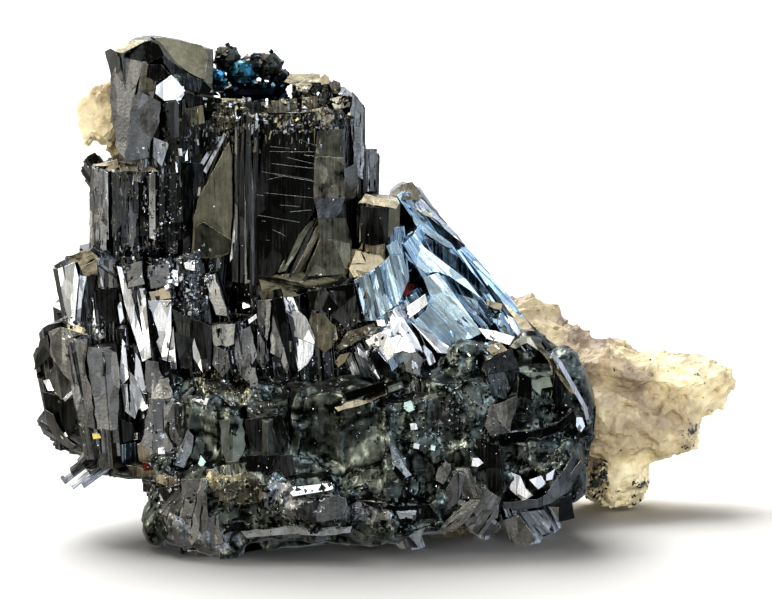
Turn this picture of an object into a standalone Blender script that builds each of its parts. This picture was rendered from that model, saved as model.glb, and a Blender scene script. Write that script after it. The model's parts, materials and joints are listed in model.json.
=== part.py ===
"""Pyrargyrite specimen: dark six-sided crystals grown together on a lump of pale carbonate rock.

X runs to the right, Y away from the front, Z up, and the specimen stands on Z = 0.
The tables are in millimetres at the specimen's real size.
"""
import math
import random

import bmesh
import bpy
from mathutils import Matrix, Vector, noise

MM = 0.001                # one table unit, in metres
MIDDLE = (0.3, 0.5)       # X and Y, in the tables, of the middle of the whole specimen
GAP = 0.30                # clearance that the rock and the crust keep to the crystals
SIDES = 6                 # pyrargyrite grows as six-sided prisms
FLOOR = 0.0               # height on which the specimen rests
GROUND = 60.0             # side of the block that is cut away below the floor
MERGE = 0.0005            # corners nearer than this are one corner
FLAT = math.radians(0.5)  # faces that meet at less than this lie in one plane
GOLDEN_TURN = math.pi * (3 - math.sqrt(5))         # spreads the planes of a lump evenly
BLOCK_FACES = 21          # planes that cut a worn lump
KNOB_FACES = 13           # planes that cut a knob of the crust
LOW_END = (12, 32)        # slope in degrees of the face that ends a crystal with no faces of its own
FRONT, RIGHT, BACK, LEFT = 270, 0, 90, 180         # compass of the slanting faces, in degrees

# Looks of each sub-part: colour, roughness, metallic.
FINISHES = {
    "pyrargyrite_cluster": ((0.045, 0.050, 0.055), 0.22, 0.85),
    "matrix": ((0.62, 0.54, 0.40), 0.90, 0.0),
    "blue_tarnished_crust": ((0.03, 0.07, 0.14), 0.30, 0.80),
}

# Each crystal: name, foot, tip, width across, depth, roll about its own axis in degrees, and the
# slanting faces that end it as (compass, slope in degrees, how far down the prism's side it reaches).
CRYSTALS = {
    "column": (
        ("main", (-5.5, 1.7, 11.9), (-5.5, 1.7, 23.0), 7.3, 6.3, 0, ((FRONT, 42, 0.9),)),
        ("ridge", (-7.6, -1.2, 12.7), (-7.4, -1.2, 23.1), 1.0, 1.6, 20, ()),
        ("ridge_left", (-8.1, -0.6, 12.6), (-8.0, -0.4, 22.1), 1.2, 2.0, 0, ()),
        ("lens", (-9.4, -0.6, 13.4), (-8.7, -0.2, 21.5), 2.5, 2.6, -8, ((LEFT, 66, 4.6),)),
        ("recess", (-10.5, 0.6, 13.2), (-10.4, 0.8, 22.8), 2.5, 4.0, 0, ()),
        ("plate_a", (-10.1, -0.5, 18.7), (-9.0, -0.3, 21.8), 0.5, 1.4, 0, ()),
        ("plate_b", (-9.6, -0.2, 18.6), (-8.6, -0.1, 21.9), 0.4, 1.2, 0, ()),
        ("right_rear", (-2.0, 2.4, 15.9), (-2.0, 2.4, 23.7), 1.7, 4.0, 10, ((RIGHT, 50, 0.8),)),
        ("far_right", (-1.0, 3.6, 16.1), (-0.9, 3.6, 20.3), 1.1, 2.4, 15, ((RIGHT, 25, 0.2),)),
        ("flare_a", (-5.7, -1.5, 13.2), (-3.8, -1.2, 17.5), 0.7, 1.6, 10, ()),
        ("flare_b", (-4.7, -1.6, 13.2), (-3.5, -1.3, 16.6), 0.7, 1.6, 0, ()),
        ("flare_base", (-3.1, -0.7, 12.6), (-2.9, -0.2, 16.1), 1.9, 3.0, 20, ()),
        ("foot_ledge", (-4.8, -0.8, 10.7), (-4.7, -0.5, 13.5), 5.7, 4.2, 0, ((FRONT, 30, 0.4),)),
        ("shelf", (-8.2, 0.8, 20.6), (-8.2, 0.8, 23.4), 5.3, 3.2, 0, ((FRONT, 30, 0.5),)),
        ("top_rear", (-3.8, 3.4, 20.3), (-3.8, 3.6, 24.2), 2.9, 3.2, 0, ((RIGHT, 30, 0.5),)),
    ),
    "crown": (
        ("left", (-13.4, 0.7, 19.3), (-14.1, 0.9, 26.8), 2.3, 3.4, -10, ((LEFT, 20, 0.75),)),
        ("front", (-13.5, -0.8, 19.3), (-12.5, -0.5, 25.7), 2.0, 2.4, 6,
         ((RIGHT, 45, 1.6), (FRONT, 30, 0.3))),
        ("right", (-11.3, 1.4, 17.5), (-11.5, 1.8, 26.8), 4.6, 4.8, 0, ((RIGHT, 14, 0.9), (318, 46, 2.6))),
        ("gem", (-11.5, -0.2, 23.8), (-11.7, -2.1, 24.4), 1.5, 1.5, 30,
         ((90, 40, 0.5), (210, 40, 0.6), (330, 40, 0.6))),
        ("chip", (-12.2, -1.3, 19.6), (-12.3, -1.3, 21.4), 1.0, 1.0, 0, ()),
        ("base", (-11.3, -0.3, 17.2), (-11.3, -0.5, 23.6), 3.2, 3.0, 4, ((FRONT, 50, 0.8),)),
    ),
    "left_columns": (
        ("a", (-15.5, -0.2, 14.3), (-15.4, -0.2, 20.1), 1.3, 2.4, -25, ()),
        ("b", (-14.6, -0.9, 14.3), (-14.5, -0.9, 19.9), 1.2, 1.8, 0, ()),
        ("c", (-13.7, -0.7, 14.2), (-13.7, -0.7, 19.9), 1.0, 1.8, 12, ()),
        ("d", (-12.8, -1.0, 14.2), (-12.7, -1.0, 20.0), 1.2, 1.8, -5, ()),
        ("e", (-11.8, -0.8, 14.1), (-11.7, -0.8, 20.3), 1.2, 1.8, 10, ()),
        ("rear", (-13.6, 1.5, 13.2), (-13.5, 1.5, 20.1), 5.4, 4.2, 0, ()),
        ("rear_knob", (-15.0, 3.0, 17.6), (-16.6, 3.6, 19.7), 1.6, 2.4, 0, ((LEFT, 30, 0.4),)),
    ),
    "right_blocks": (
        ("block", (-0.4, -0.8, 14.7), (-0.3, -0.8, 18.3), 2.3, 2.3, 14, ((FRONT, 18, 0.4),)),
        ("tan_end", (-1.1, -1.8, 12.8), (-1.0, -1.2, 15.5), 2.3, 2.6, 0, ((FRONT, 48, 1.7),)),
        ("striped", (0.1, -2.0, 11.4), (-0.7, -2.0, 14.9), 2.5, 2.2, -12, ((LEFT, 25, 0.9),)),
        ("striped_rear", (0.9, -0.9, 11.4), (0.4, -0.6, 16.7), 1.3, 2.4, -10, ()),
        ("blue_end", (3.4, 0.2, 12.4), (1.2, -0.2, 16.3), 1.6, 2.2, -20, ()),
    ),
    "leaning": (
        ("spine", (9.8, 2.6, 4.7), (0.6, 2.6, 18.2), 2.6, 3.8, 0, ((RIGHT, 50, 0.9), (LEFT, 40, 0.6))),
        ("blade_a", (8.0, 1.0, 6.4), (1.9, 0.6, 15.5), 1.8, 2.6, -10, ()),
        ("blade_b", (6.1, -0.6, 8.1), (2.7, -0.8, 14.1), 1.6, 2.0, -5, ()),
        ("blade_c", (4.6, -1.6, 8.0), (1.9, -1.6, 12.9), 1.8, 1.8, -8, ()),
        ("bright_step", (2.6, -1.2, 10.8), (1.3, -1.4, 13.3), 1.3, 1.8, 0, ()),
        ("web", (9.0, 2.2, 3.6), (1.7, 1.8, 14.6), 5.0, 3.0, 0, ()),
        ("low_blade", (10.2, 0.8, 4.1), (5.8, 0.8, 11.4), 1.5, 2.4, 5, ()),
        ("red_gem", (1.9, -0.6, 12.1), (1.3, -1.0, 13.6), 0.8, 1.0, 0, ()),
    ),
    "bright": (
        ("wide", (1.2, -3.0, 7.8), (-0.5, -3.2, 11.6), 2.3, 2.2, -4, ()),
        ("side", (2.5, -2.6, 7.9), (0.5, -2.6, 12.7), 1.4, 2.2, -10, ()),
        ("dark_a", (0.1, -3.2, 7.5), (-1.7, -3.3, 10.7), 0.8, 1.6, 10, ()),
        ("dark_b", (0.7, -3.6, 7.5), (-1.1, -3.7, 10.4), 0.7, 1.4, 0, ()),
    ),
    "middle": (
        ("black_slab", (-2.2, -1.6, 9.9), (-3.1, -1.6, 13.9), 3.3, 3.4, 4, ()),
        ("blue_blade", (-4.3, -3.0, 8.2), (-5.4, -2.6, 13.4), 1.4, 2.2, -8, ((RIGHT, 50, 1.8),)),
        ("grey_a", (-5.3, -3.2, 8.3), (-6.0, -3.0, 12.9), 0.8, 1.6, 0, ()),
        ("grey_b", (-6.4, -3.0, 8.2), (-6.8, -2.8, 13.2), 1.3, 2.0, 5, ()),
        ("grey_c", (-7.4, -3.2, 7.9), (-8.0, -3.0, 11.9), 1.2, 1.8, -6, ()),
        ("grey_block", (-8.8, -3.6, 8.2), (-9.0, -3.4, 11.9), 1.6, 2.4, 3, ()),
        ("olive", (-3.0, -2.8, 8.2), (-3.4, -2.4, 12.6), 1.9, 2.2, -12, ()),
        ("sliver", (-2.3, -2.8, 8.2), (-2.7, -2.6, 11.8), 0.7, 1.6, 0, ()),
        ("core", (-5.6, -0.4, 6.4), (-5.5, -0.2, 13.0), 11.0, 4.0, 0, ()),
    ),
    "fan": (
        ("white_a", (-12.3, -3.2, 7.7), (-13.9, -2.8, 14.9), 1.6, 2.2, -6, ()),
        ("white_b", (-11.7, -3.4, 7.8), (-12.5, -3.2, 13.4), 1.5, 2.2, 6, ()),
        ("white_c", (-11.4, -3.7, 8.0), (-11.7, -3.7, 12.1), 0.5, 1.4, 0, ()),
        ("dark", (-10.2, -3.0, 7.8), (-10.7, -2.8, 13.1), 2.2, 2.4, 0, ()),
        ("white_d", (-10.0, -3.8, 8.2), (-10.4, -3.8, 11.3), 0.4, 1.2, 0, ()),
        ("cap_block", (-12.0, -2.8, 12.5), (-12.2, -2.6, 15.3), 1.4, 1.8, 0, ()),
        ("finger", (-8.6, -2.2, 11.3), (-9.5, -2.0, 14.4), 0.9, 1.6, 0, ()),
        ("steps", (-10.2, -1.8, 11.0), (-11.0, -1.6, 15.4), 2.1, 2.4, 0, ()),
        ("top_left", (-13.4, -2.0, 10.9), (-14.1, -1.8, 15.3), 1.7, 2.4, 0, ()),
        ("core", (-12.2, -0.2, 5.2), (-13.0, -0.2, 14.6), 6.8, 4.2, 0, ()),
    ),
    "left_fan": (
        ("silver", (-16.6, -2.8, 10.2), (-17.4, -2.4, 15.3), 1.6, 2.2, -8, ((LEFT, 20, 0.3),)),
        ("strip", (-16.3, -3.1, 10.4), (-16.5, -2.9, 14.8), 0.5, 1.4, 0, ()),
        ("hollow", (-15.3, -1.6, 9.9), (-15.3, -1.4, 13.8), 2.0, 2.2, 0, ()),
        ("strip_low", (-15.7, -2.7, 9.8), (-16.0, -2.5, 13.5), 0.5, 1.2, 0, ()),
        ("matt_a", (-15.7, -4.2, 4.6), (-16.9, -3.8, 11.2), 1.6, 2.4, -6, ()),
        ("matt_b", (-14.9, -4.4, 4.1), (-15.4, -4.0, 10.7), 1.8, 2.6, 4, ()),
        ("rib_a", (-13.8, -3.8, 4.8), (-14.4, -3.6, 11.6), 0.8, 1.6, 0, ()),
        ("rib_b", (-12.8, -3.9, 5.1), (-13.7, -3.6, 10.7), 0.9, 1.6, 0, ()),
        ("flank_a", (-17.2, -2.2, 4.8), (-18.1, -2.0, 11.7), 1.7, 3.0, -20, ((LEFT, 30, 0.5),)),
        ("flank_b", (-17.7, -1.2, 5.1), (-18.7, -1.0, 10.3), 1.4, 3.0, -15, ((LEFT, 40, 0.5),)),
        ("flank_low", (-15.9, -2.6, 5.1), (-18.5, -1.8, 6.5), 2.2, 3.2, 0, ((LEFT, 30, 0.5),)),
        ("rim", (-14.7, -1.0, 14.2), (-16.3, -1.0, 15.4), 1.6, 3.0, 0, ()),
        ("knob_a", (-14.8, -3.0, 5.2), (-17.2, -3.6, 3.5), 0.7, 1.1, 0, ()),
        ("knob_b", (-14.5, -3.4, 4.8), (-16.3, -3.9, 3.7), 0.6, 1.0, 0, ()),
        ("knob_c", (-15.3, -3.9, 5.7), (-16.7, -4.2, 4.2), 0.5, 1.0, 0, ()),
    ),
    "front": (
        ("grey_lens", (-11.3, -5.9, 2.9), (-10.8, -5.6, 6.5), 0.9, 1.4, -15, ()),
        ("green_a", (-9.8, -6.2, 3.1), (-9.7, -5.2, 8.9), 2.7, 3.4, 8, ((FRONT, 40, 1.7),)),
        ("green_b", (-8.0, -6.8, 3.2), (-8.2, -6.2, 8.3), 1.9, 3.0, -14, ((FRONT, 35, 1.2),)),
        ("black_cube", (-6.3, -7.0, 3.3), (-6.4, -6.6, 8.2), 2.6, 3.0, 0, ((FRONT, 35, 1.0),)),
        ("green_c", (-3.6, -6.6, 3.2), (-4.0, -5.4, 9.1), 3.6, 4.0, 6, ((FRONT, 35, 1.6),)),
        ("rim_strip", (-3.0, -6.9, 7.7), (0.8, -5.4, 8.8), 0.6, 1.4, 0, ()),
    ),
    "rear": (
        ("a", (-8.6, 4.4, 11.0), (-8.5, 4.7, 22.2), 3.4, 3.2, 10, ((BACK, 30, 0.8),)),
        ("b", (-5.4, 5.2, 10.0), (-5.2, 5.4, 21.0), 3.2, 2.8, -8, ((BACK, 24, 0.6),)),
        ("c", (-2.6, 4.8, 10.0), (-2.4, 4.9, 18.8), 2.6, 3.0, 14, ((BACK, 35, 0.8),)),
        ("d", (-11.4, 4.0, 12.0), (-11.6, 4.2, 24.4), 3.6, 3.2, 4, ((BACK, 40, 1.2),)),
        ("e", (-0.4, 3.4, 9.0), (-0.2, 3.4, 15.6), 3.4, 3.4, 0, ((BACK, 30, 0.7),)),
        ("f", (-15.6, 1.2, 8.0), (-15.6, 1.0, 15.2), 2.8, 3.8, 12, ()),
        ("g", (-16.8, 0.4, 6.0), (-17.3, 0.2, 12.4), 2.2, 3.0, -10, ()),
        ("fill", (-6.0, 2.2, 6.0), (-6.0, 2.2, 20.6), 11.5, 4.6, 0, ()),
        ("fill_left", (-13.0, 2.0, 6.0), (-13.0, 1.6, 18.6), 7.0, 4.4, 0, ()),
        ("fill_low", (-5.0, 0.5, 1.6), (-5.0, 0.5, 10.0), 17.0, 8.0, 0, ()),
        ("fill_right", (1.6, 0.6, 4.0), (1.2, 0.6, 13.6), 6.5, 4.4, 0, ()),
    ),
    "under": (
        ("prism_a", (6.9, -4.6, 2.2), (7.8, -4.8, -0.3), 1.8, 2.0, 10, ()),
        ("prism_b", (8.1, -3.6, 2.1), (9.0, -3.6, 0.3), 1.5, 2.2, -10, ()),
        ("stub", (5.3, -4.6, 2.2), (5.4, -4.8, 0.2), 1.9, 2.4, 0, ((RIGHT, 30, 0.4), (LEFT, 30, 0.4))),
        ("tooth", (0.9, -6.0, 1.4), (1.5, -6.0, -0.3), 1.6, 2.2, 0, ()),
        ("stack_a", (9.5, -2.8, 3.5), (11.0, -2.8, 3.7), 1.1, 1.4, 0, ()),
        ("stack_b", (9.1, -2.8, 2.6), (10.6, -2.8, 2.4), 1.1, 1.4, 0, ()),
    ),
}

# Rounded, etched crystals of the front and lower right, worn until each is a lump of flat faces:
# name, centre, size along X, Y and Z, how far it leans to the right in degrees, and how square it is.
BLOCKS = (
    ("slab_left", (-8.6, -6.6, 2.9), (7.4, 6.2, 5.0), -3, 0.5),
    ("slab_middle", (-4.4, -6.8, 2.6), (7.2, 6.4, 3.8), -2, 0.6),
    ("slab_right", (0.4, -6.2, 2.0), (6.4, 5.6, 3.2), -4, 0.6),
    ("slab_upper", (-4.6, -5.6, 4.4), (8.6, 5.0, 3.4), -2, 0.6),
    ("sole", (-4.6, -6.6, 0.9), (13.4, 6.6, 2.0), -3, 0.7),
    ("left_toe", (-11.3, -6.0, 2.7), (3.8, 5.0, 5.6), 6, 0.5),
    ("heel", (-9.8, -7.6, 1.1), (4.8, 4.2, 3.4), 12, 0.3),
    ("left_core", (-13.6, -1.6, 5.6), (5.4, 5.0, 5.4), 0, 0.6),
    ("left_shoulder", (-12.0, -4.6, 6.0), (3.2, 4.2, 7.0), -4, 0.5),
    ("olive_crest", (-8.3, -4.8, 7.8), (5.6, 4.4, 2.8), 4, 0.4),
    ("dark_green", (-2.2, -5.6, 6.3), (7.0, 5.0, 5.8), -8, 0.5),
    ("smooth_right", (-0.6, -7.0, 3.9), (4.8, 4.6, 3.6), -6, 0.4),
    ("granular", (3.3, -4.8, 7.0), (7.0, 5.2, 4.8), -12, 0.6),
    ("granular_low", (3.4, -5.2, 3.9), (6.6, 5.2, 5.0), -12, 0.5),
    ("corner", (7.9, -3.2, 7.1), (7.0, 5.4, 6.2), -14, 0.5),
    ("corner_low", (7.6, -4.0, 3.9), (7.2, 5.4, 4.8), -12, 0.4),
    ("corner_tip", (9.5, -2.6, 5.2), (3.4, 4.4, 5.8), 8, 0.3),
    ("dome_right", (4.6, -3.4, 9.6), (3.6, 3.8, 3.0), 0, 0.1),
    ("dome_left", (1.0, -3.8, 9.4), (2.6, 3.0, 2.6), 0, 0.1),
    ("dome_end", (7.8, -2.8, 9.5), (2.8, 3.4, 3.4), 20, 0.3),
    ("lower_left", (-16.5, -1.6, 7.3), (4.6, 4.6, 6.2), -12, 0.4),
    ("rear_low", (2.0, -0.6, 5.0), (11.0, 6.4, 6.6), 0, 0.5),
    ("under_left", (-9.0, -1.0, 2.6), (7.0, 5.6, 3.4), 6, 0.4),
    ("under_middle", (-2.8, -0.4, 2.3), (7.4, 6.2, 3.2), -4, 0.4),
)

# Small broken crystals that crust the big ones: name, how many, middle of the patch, its half size,
# width of a crystal from and to, and the direction that most of them point in.
CHIPS = (
    ("column_rim", 11, (-6.2, -1.0, 22.4), (3.6, 0.3, 0.6), (0.7, 1.3), (0.0, -0.3, 1.0)),
    ("column_top", 7, (-5.4, 0.9, 23.2), (4.0, 1.4, 0.3), (0.8, 1.5), (0.0, 0.0, 1.0)),
    ("crown_foot", 4, (-12.4, -1.5, 19.6), (1.3, 0.3, 1.4), (0.6, 1.0), (0.0, -0.3, 1.0)),
    ("sparkle", 3, (-12.6, -1.6, 17.2), (0.9, 0.2, 0.9), (0.5, 0.8), (0.0, -0.4, 1.0)),
    ("fan_rim", 6, (-12.4, -2.5, 14.7), (2.4, 0.4, 0.4), (0.7, 1.1), (0.0, -0.3, 1.0)),
    ("fan_speckle", 3, (-11.0, -2.8, 13.2), (0.8, 0.3, 1.2), (0.6, 1.0), (0.1, -0.3, 1.0)),
    ("column_foot", 6, (-5.4, -2.3, 13.1), (3.0, 0.4, 0.3), (0.7, 1.2), (0.1, -0.3, 1.0)),
    ("lean_shatter", 5, (5.8, -1.4, 11.2), (1.6, 0.5, 0.7), (0.6, 1.1), (-0.5, -0.3, 1.0)),
    ("crest", 6, (-8.6, -6.0, 8.5), (2.6, 0.7, 0.5), (0.7, 1.2), (0.0, -0.3, 1.0)),
    ("granular", 4, (3.4, -6.8, 7.4), (2.6, 0.3, 1.0), (0.9, 1.5), (0.1, -0.3, 1.0)),
    ("corner_edge", 4, (10.4, -3.6, 4.4), (0.5, 0.8, 1.8), (0.7, 1.2), (0.5, -0.3, 1.0)),
    ("left_end", 4, (-18.2, -2.0, 8.0), (0.3, 0.9, 2.4), (0.7, 1.3), (-0.4, -0.3, 1.0)),
)

# Lumps that the rock is made of: centre and size along X, Y and Z.
ROCK = (
    ((8.6, 6.2, 8.4), (7.0, 5.0, 4.6)),
    ((13.2, 6.2, 7.2), (8.0, 6.0, 4.6)),
    ((17.0, 5.8, 6.2), (5.6, 5.2, 3.6)),
    ((15.4, 5.0, 4.2), (6.4, 5.0, 3.4)),
    ((12.2, 4.2, 3.8), (5.4, 6.0, 7.0)),
    ((13.2, 3.8, 1.4), (3.4, 4.6, 4.0)),
    ((5.6, 6.6, 7.2), (13.0, 6.4, 11.6)),
    ((-2.4, 7.2, 8.4), (14.0, 6.2, 13.6)),
    ((-9.6, 6.8, 11.0), (10.0, 6.8, 14.0)),
    ((-8.0, 7.4, 2.6), (8.0, 5.8, 6.2)),
    ((-12.4, 5.8, 17.4), (6.8, 5.0, 9.0)),
    ((-15.2, 4.6, 21.8), (4.2, 3.2, 4.8)),
    ((4.6, 2.6, 1.8), (4.6, 6.0, 3.8)),
    ((3.8, -1.8, 0.7), (3.2, 5.6, 2.2)),
)
ROCK_GRAIN = 0.45         # the rock's facets before its flat stretches are merged
ROCK_BUMPS = ((3.2, 1.0), (1.3, 0.5))         # spacing and height of its lumps and of its pits
NOISE_SHIFTS = (0.0, 31.4, 67.8)              # keep the three waves of the bumps apart
ROCK_DETAIL = 0.064      # share of the facets that stay

# Knobs of the tarnished crust that grew behind the top of the column: centre and size.
CRUST = (
    ((-8.8, 3.4, 25.4), (1.7, 1.6, 1.9)),
    ((-8.0, 3.0, 24.6), (2.0, 1.8, 1.9)),
    ((-9.3, 2.6, 24.3), (1.3, 1.4, 1.6)),
    ((-7.4, 3.4, 25.0), (1.9, 1.7, 1.6)),
    ((-6.5, 3.6, 25.0), (1.8, 1.7, 1.9)),
    ((-5.9, 3.8, 24.2), (1.5, 1.9, 1.5)),
    ((-7.4, 3.6, 23.5), (4.6, 2.6, 1.6)),
)


def axis_frame(foot, tip, roll):
    """Turns a crystal from foot to tip: local Z runs to the tip, local X as near the right as it can."""
    up = (tip - foot).normalized()
    right = Vector((1, 0, 0)) if abs(up.x) < 0.8 else Vector((0, 0, -1 if up.x > 0 else 1))
    away = up.cross(right).normalized()
    right = away.cross(up)
    return Matrix((right, away, up)).transposed() @ Matrix.Rotation(math.radians(roll), 3, "Z")


def cut_off(mesh, point, normal):
    """Takes away what lies beyond a plane and closes the cut with a flat face."""
    parts = mesh.verts[:] + mesh.edges[:] + mesh.faces[:]
    cut = bmesh.ops.bisect_plane(mesh, geom=parts, plane_co=point, plane_no=normal, clear_outer=True)
    rim = [edge for edge in cut["geom_cut"] if isinstance(edge, bmesh.types.BMEdge)]
    bmesh.ops.edgenet_fill(mesh, edges=rim)
    bmesh.ops.recalc_face_normals(mesh, faces=mesh.faces)


def to_object(name, mesh, collection):
    """Makes an object of a mesh that is in millimetres."""
    bmesh.ops.scale(mesh, vec=(MM, MM, MM), verts=mesh.verts)
    data = bpy.data.meshes.new(name)
    mesh.to_mesh(data)
    mesh.free()
    thing = bpy.data.objects.new(name, data)
    collection.objects.link(thing)
    return thing


def prism(row, grow=0.0):
    """Closed six-sided prism with its slanting end faces. grow makes it larger all round."""
    _, foot, tip, across, depth, roll, slants = row
    foot, tip = Vector(foot), Vector(tip)
    end = (tip - foot).length + grow
    half_across, half_depth = across / 2 + grow, depth / math.sqrt(3) + grow
    mesh = bmesh.new()
    bmesh.ops.create_cone(mesh, cap_ends=True, segments=SIDES, radius1=1, radius2=1, depth=end + grow)
    bmesh.ops.scale(mesh, vec=(half_across, half_depth, 1), verts=mesh.verts)
    bmesh.ops.translate(mesh, vec=(0, 0, (end - grow) / 2), verts=mesh.verts)
    for compass, slope, drop in slants:
        turn, slope = math.radians(compass), math.radians(slope)
        rim = Vector((math.cos(turn) * half_across, math.sin(turn) * half_depth, end - drop))
        normal = Vector((math.cos(turn) * math.sin(slope), math.sin(turn) * math.sin(slope), math.cos(slope)))
        cut_off(mesh, rim, normal)
    place = Matrix.Translation(foot) @ axis_frame(foot, tip, roll).to_4x4()
    bmesh.ops.transform(mesh, matrix=place, verts=mesh.verts)
    return mesh


def block(centre, size, lean, square, seed, faces, grow=0.0):
    """Closed lump of flat faces, cut on every side by a seeded set of planes.

    square runs from 0, where the planes touch a ball, to 1, where they touch the cube around it.
    """
    rng = random.Random(seed)
    mesh = bmesh.new()
    bmesh.ops.create_cube(mesh, size=2.6)
    for step in range(faces):
        height = 1 - 2 * (step + 0.5) / faces
        turn = step * GOLDEN_TURN + rng.uniform(-0.4, 0.4)
        ring = math.sqrt(1 - height * height)
        normal = Vector((math.cos(turn) * ring, math.sin(turn) * ring, height + rng.uniform(-0.15, 0.15)))
        normal.normalize()
        reach = 1 + square * (abs(normal.x) + abs(normal.y) + abs(normal.z) - 1)
        cut_off(mesh, normal * reach * rng.uniform(0.88, 1.04), normal)
    spans = [[vert.co[axis] for vert in mesh.verts] for axis in range(3)]
    middle = Vector((min(span) + max(span)) / 2 for span in spans)
    fit = Vector((size[axis] + 2 * grow) / (max(span) - min(span)) for axis, span in enumerate(spans))
    bmesh.ops.translate(mesh, vec=-middle, verts=mesh.verts)
    bmesh.ops.scale(mesh, vec=fit, verts=mesh.verts)
    place = Matrix.Translation(centre) @ Matrix.Rotation(math.radians(lean), 4, "Y")
    bmesh.ops.transform(mesh, matrix=place, verts=mesh.verts)
    return mesh


def prism_rows():
    """The rows of CRYSTALS, each with at least one face that ends it."""
    rng = random.Random(1)
    rows = []
    for group, group_rows in CRYSTALS.items():
        for name, foot, tip, across, depth, roll, slants in group_rows:
            low_face = ((rng.choice((FRONT, FRONT, RIGHT, LEFT)), rng.uniform(*LOW_END), 0.1 * across),)
            rows.append((f"{group}_{name}", foot, tip, across, depth, roll, slants or low_face))
    return rows


def chip_rows():
    """The small broken crystals of CHIPS as rows of the same form as the big ones."""
    rows = []
    for seed, (name, count, middle, reach, width, way) in enumerate(CHIPS):
        rng = random.Random(seed)
        for number in range(count):
            spot = Vector(centre + rng.uniform(-half, half) for centre, half in zip(middle, reach))
            across = rng.uniform(*width)
            lean = Vector(rng.uniform(-0.5, 0.5) for _ in range(3))
            along = (Vector(way).normalized() + lean).normalized()
            foot = spot - along * across
            tip = spot + along * across * rng.uniform(0.1, 0.4)
            depth = across * rng.uniform(0.7, 1.2)
            roll = rng.uniform(0, 60)
            slants = ((rng.choice((FRONT, RIGHT, LEFT)), rng.uniform(15, 45), 0.15 * across),)
            rows.append((f"{name}_{number}", foot, tip, across, depth, roll, slants))
    return rows


def crystal_shapes(collection, grow=0.0):
    """Every crystal, worn lump and chip as an object of its own, still overlapping."""
    shapes = [to_object(row[0], prism(row, grow), collection) for row in prism_rows() + chip_rows()]
    for seed, (name, centre, size, lean, square) in enumerate(BLOCKS):
        lump = block(centre, size, lean, square, seed, BLOCK_FACES, grow)
        shapes.append(to_object(f"worn_{name}", lump, collection))
    return shapes


def apply_modifier(thing, kind, **settings):
    """Puts one modifier on an object and applies it."""
    modifier = thing.modifiers.new(kind.lower(), kind)
    for key, value in settings.items():
        setattr(modifier, key, value)
    graph = bpy.context.evaluated_depsgraph_get()
    data = bpy.data.meshes.new_from_object(thing.evaluated_get(graph))
    thing.modifiers.clear()
    thing.data = data


def join(name, shapes, collection):
    """Makes one solid of shapes that overlap. The shapes are used up."""
    whole, others = shapes[0], bpy.data.collections.new(f"{name}_shapes")
    for shape in shapes[1:]:
        others.objects.link(shape)
    apply_modifier(whole, "BOOLEAN", operation="UNION", operand_type="COLLECTION", collection=others)
    for shape in shapes[1:]:
        bpy.data.objects.remove(shape)
    bpy.data.collections.remove(others)
    for user in list(whole.users_collection):
        user.objects.unlink(whole)
    collection.objects.link(whole)
    whole.name = name
    whole.data.name = name
    return whole


def bodies_of(mesh):
    """The separate bodies of a mesh as sets of corners, the one with the most corners last."""
    bodies, seen = [], set()
    for start in mesh.verts:
        if start in seen:
            continue
        body, front = set(), [start]
        while front:
            vert = front.pop()
            if vert not in body:
                body.add(vert)
                front.extend(edge.other_vert(vert) for edge in vert.link_edges)
        seen |= body
        bodies.append(body)
    return sorted(bodies, key=len)


def finish_solid(thing):
    """Merges what lies in one plane and keeps the one body that is the piece."""
    mesh = bmesh.new()
    mesh.from_mesh(thing.data)
    bmesh.ops.remove_doubles(mesh, verts=mesh.verts, dist=MERGE * MM)
    bmesh.ops.dissolve_degenerate(mesh, edges=mesh.edges, dist=MERGE * MM)
    bmesh.ops.dissolve_limit(mesh, angle_limit=FLAT, verts=mesh.verts, edges=mesh.edges)
    bmesh.ops.triangulate(mesh, faces=mesh.faces)
    for crumb in bodies_of(mesh)[:-1]:
        bmesh.ops.delete(mesh, geom=list(crumb), context="VERTS")
    mesh.to_mesh(thing.data)
    mesh.free()


def bump(spot, spacing, height):
    """How far a point of the rock moves each way: smooth noise with one wave for each axis."""
    waves = (noise.noise(spot / spacing + Vector((shift, 0, 0))) for shift in NOISE_SHIFTS)
    return height * Vector(waves)


def rock(collection):
    """The matrix: lumps joined into one stone and roughened by bumps of two sizes."""
    lumps = []
    for number, (centre, size) in enumerate(ROCK):
        mesh = bmesh.new()
        bmesh.ops.create_icosphere(mesh, subdivisions=3, radius=0.5)
        bmesh.ops.scale(mesh, vec=size, verts=mesh.verts)
        bmesh.ops.translate(mesh, vec=centre, verts=mesh.verts)
        lumps.append(to_object(f"lump_{number}", mesh, collection))
    stone = join("matrix", lumps, collection)
    apply_modifier(stone, "REMESH", mode="VOXEL", voxel_size=ROCK_GRAIN * MM)
    for vert in stone.data.vertices:
        vert.co += sum((bump(vert.co / MM, spacing, height) for spacing, height in ROCK_BUMPS), Vector()) * MM
    apply_modifier(stone, "DECIMATE", ratio=ROCK_DETAIL)
    return stone


def crust(collection):
    """The knobs of the tarnished crust, joined."""
    knobs = []
    for number, (centre, size) in enumerate(CRUST):
        knob = block(centre, size, 0, 0.1, number, KNOB_FACES)
        knobs.append(to_object(f"knob_{number}", knob, collection))
    return join("blue_tarnished_crust", knobs, collection)


def ground(collection):
    """What lies below the surface that the specimen rests on, as a cutter."""
    mesh = bmesh.new()
    bmesh.ops.create_cube(mesh, size=GROUND)
    bmesh.ops.translate(mesh, vec=(0, 0, FLOOR - GROUND / 2), verts=mesh.verts)
    return to_object("ground", mesh, collection)


def give_finish(thing):
    """Gives a sub-part its own material."""
    colour, roughness, metallic = FINISHES[thing.name]
    finish = bpy.data.materials.new(thing.name)
    finish.use_nodes = True
    shader = finish.node_tree.nodes["Principled BSDF"]
    shader.inputs["Base Color"].default_value = (*colour, 1)
    shader.inputs["Roughness"].default_value = roughness
    shader.inputs["Metallic"].default_value = metallic
    thing.data.materials.clear()
    thing.data.materials.append(finish)


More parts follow.
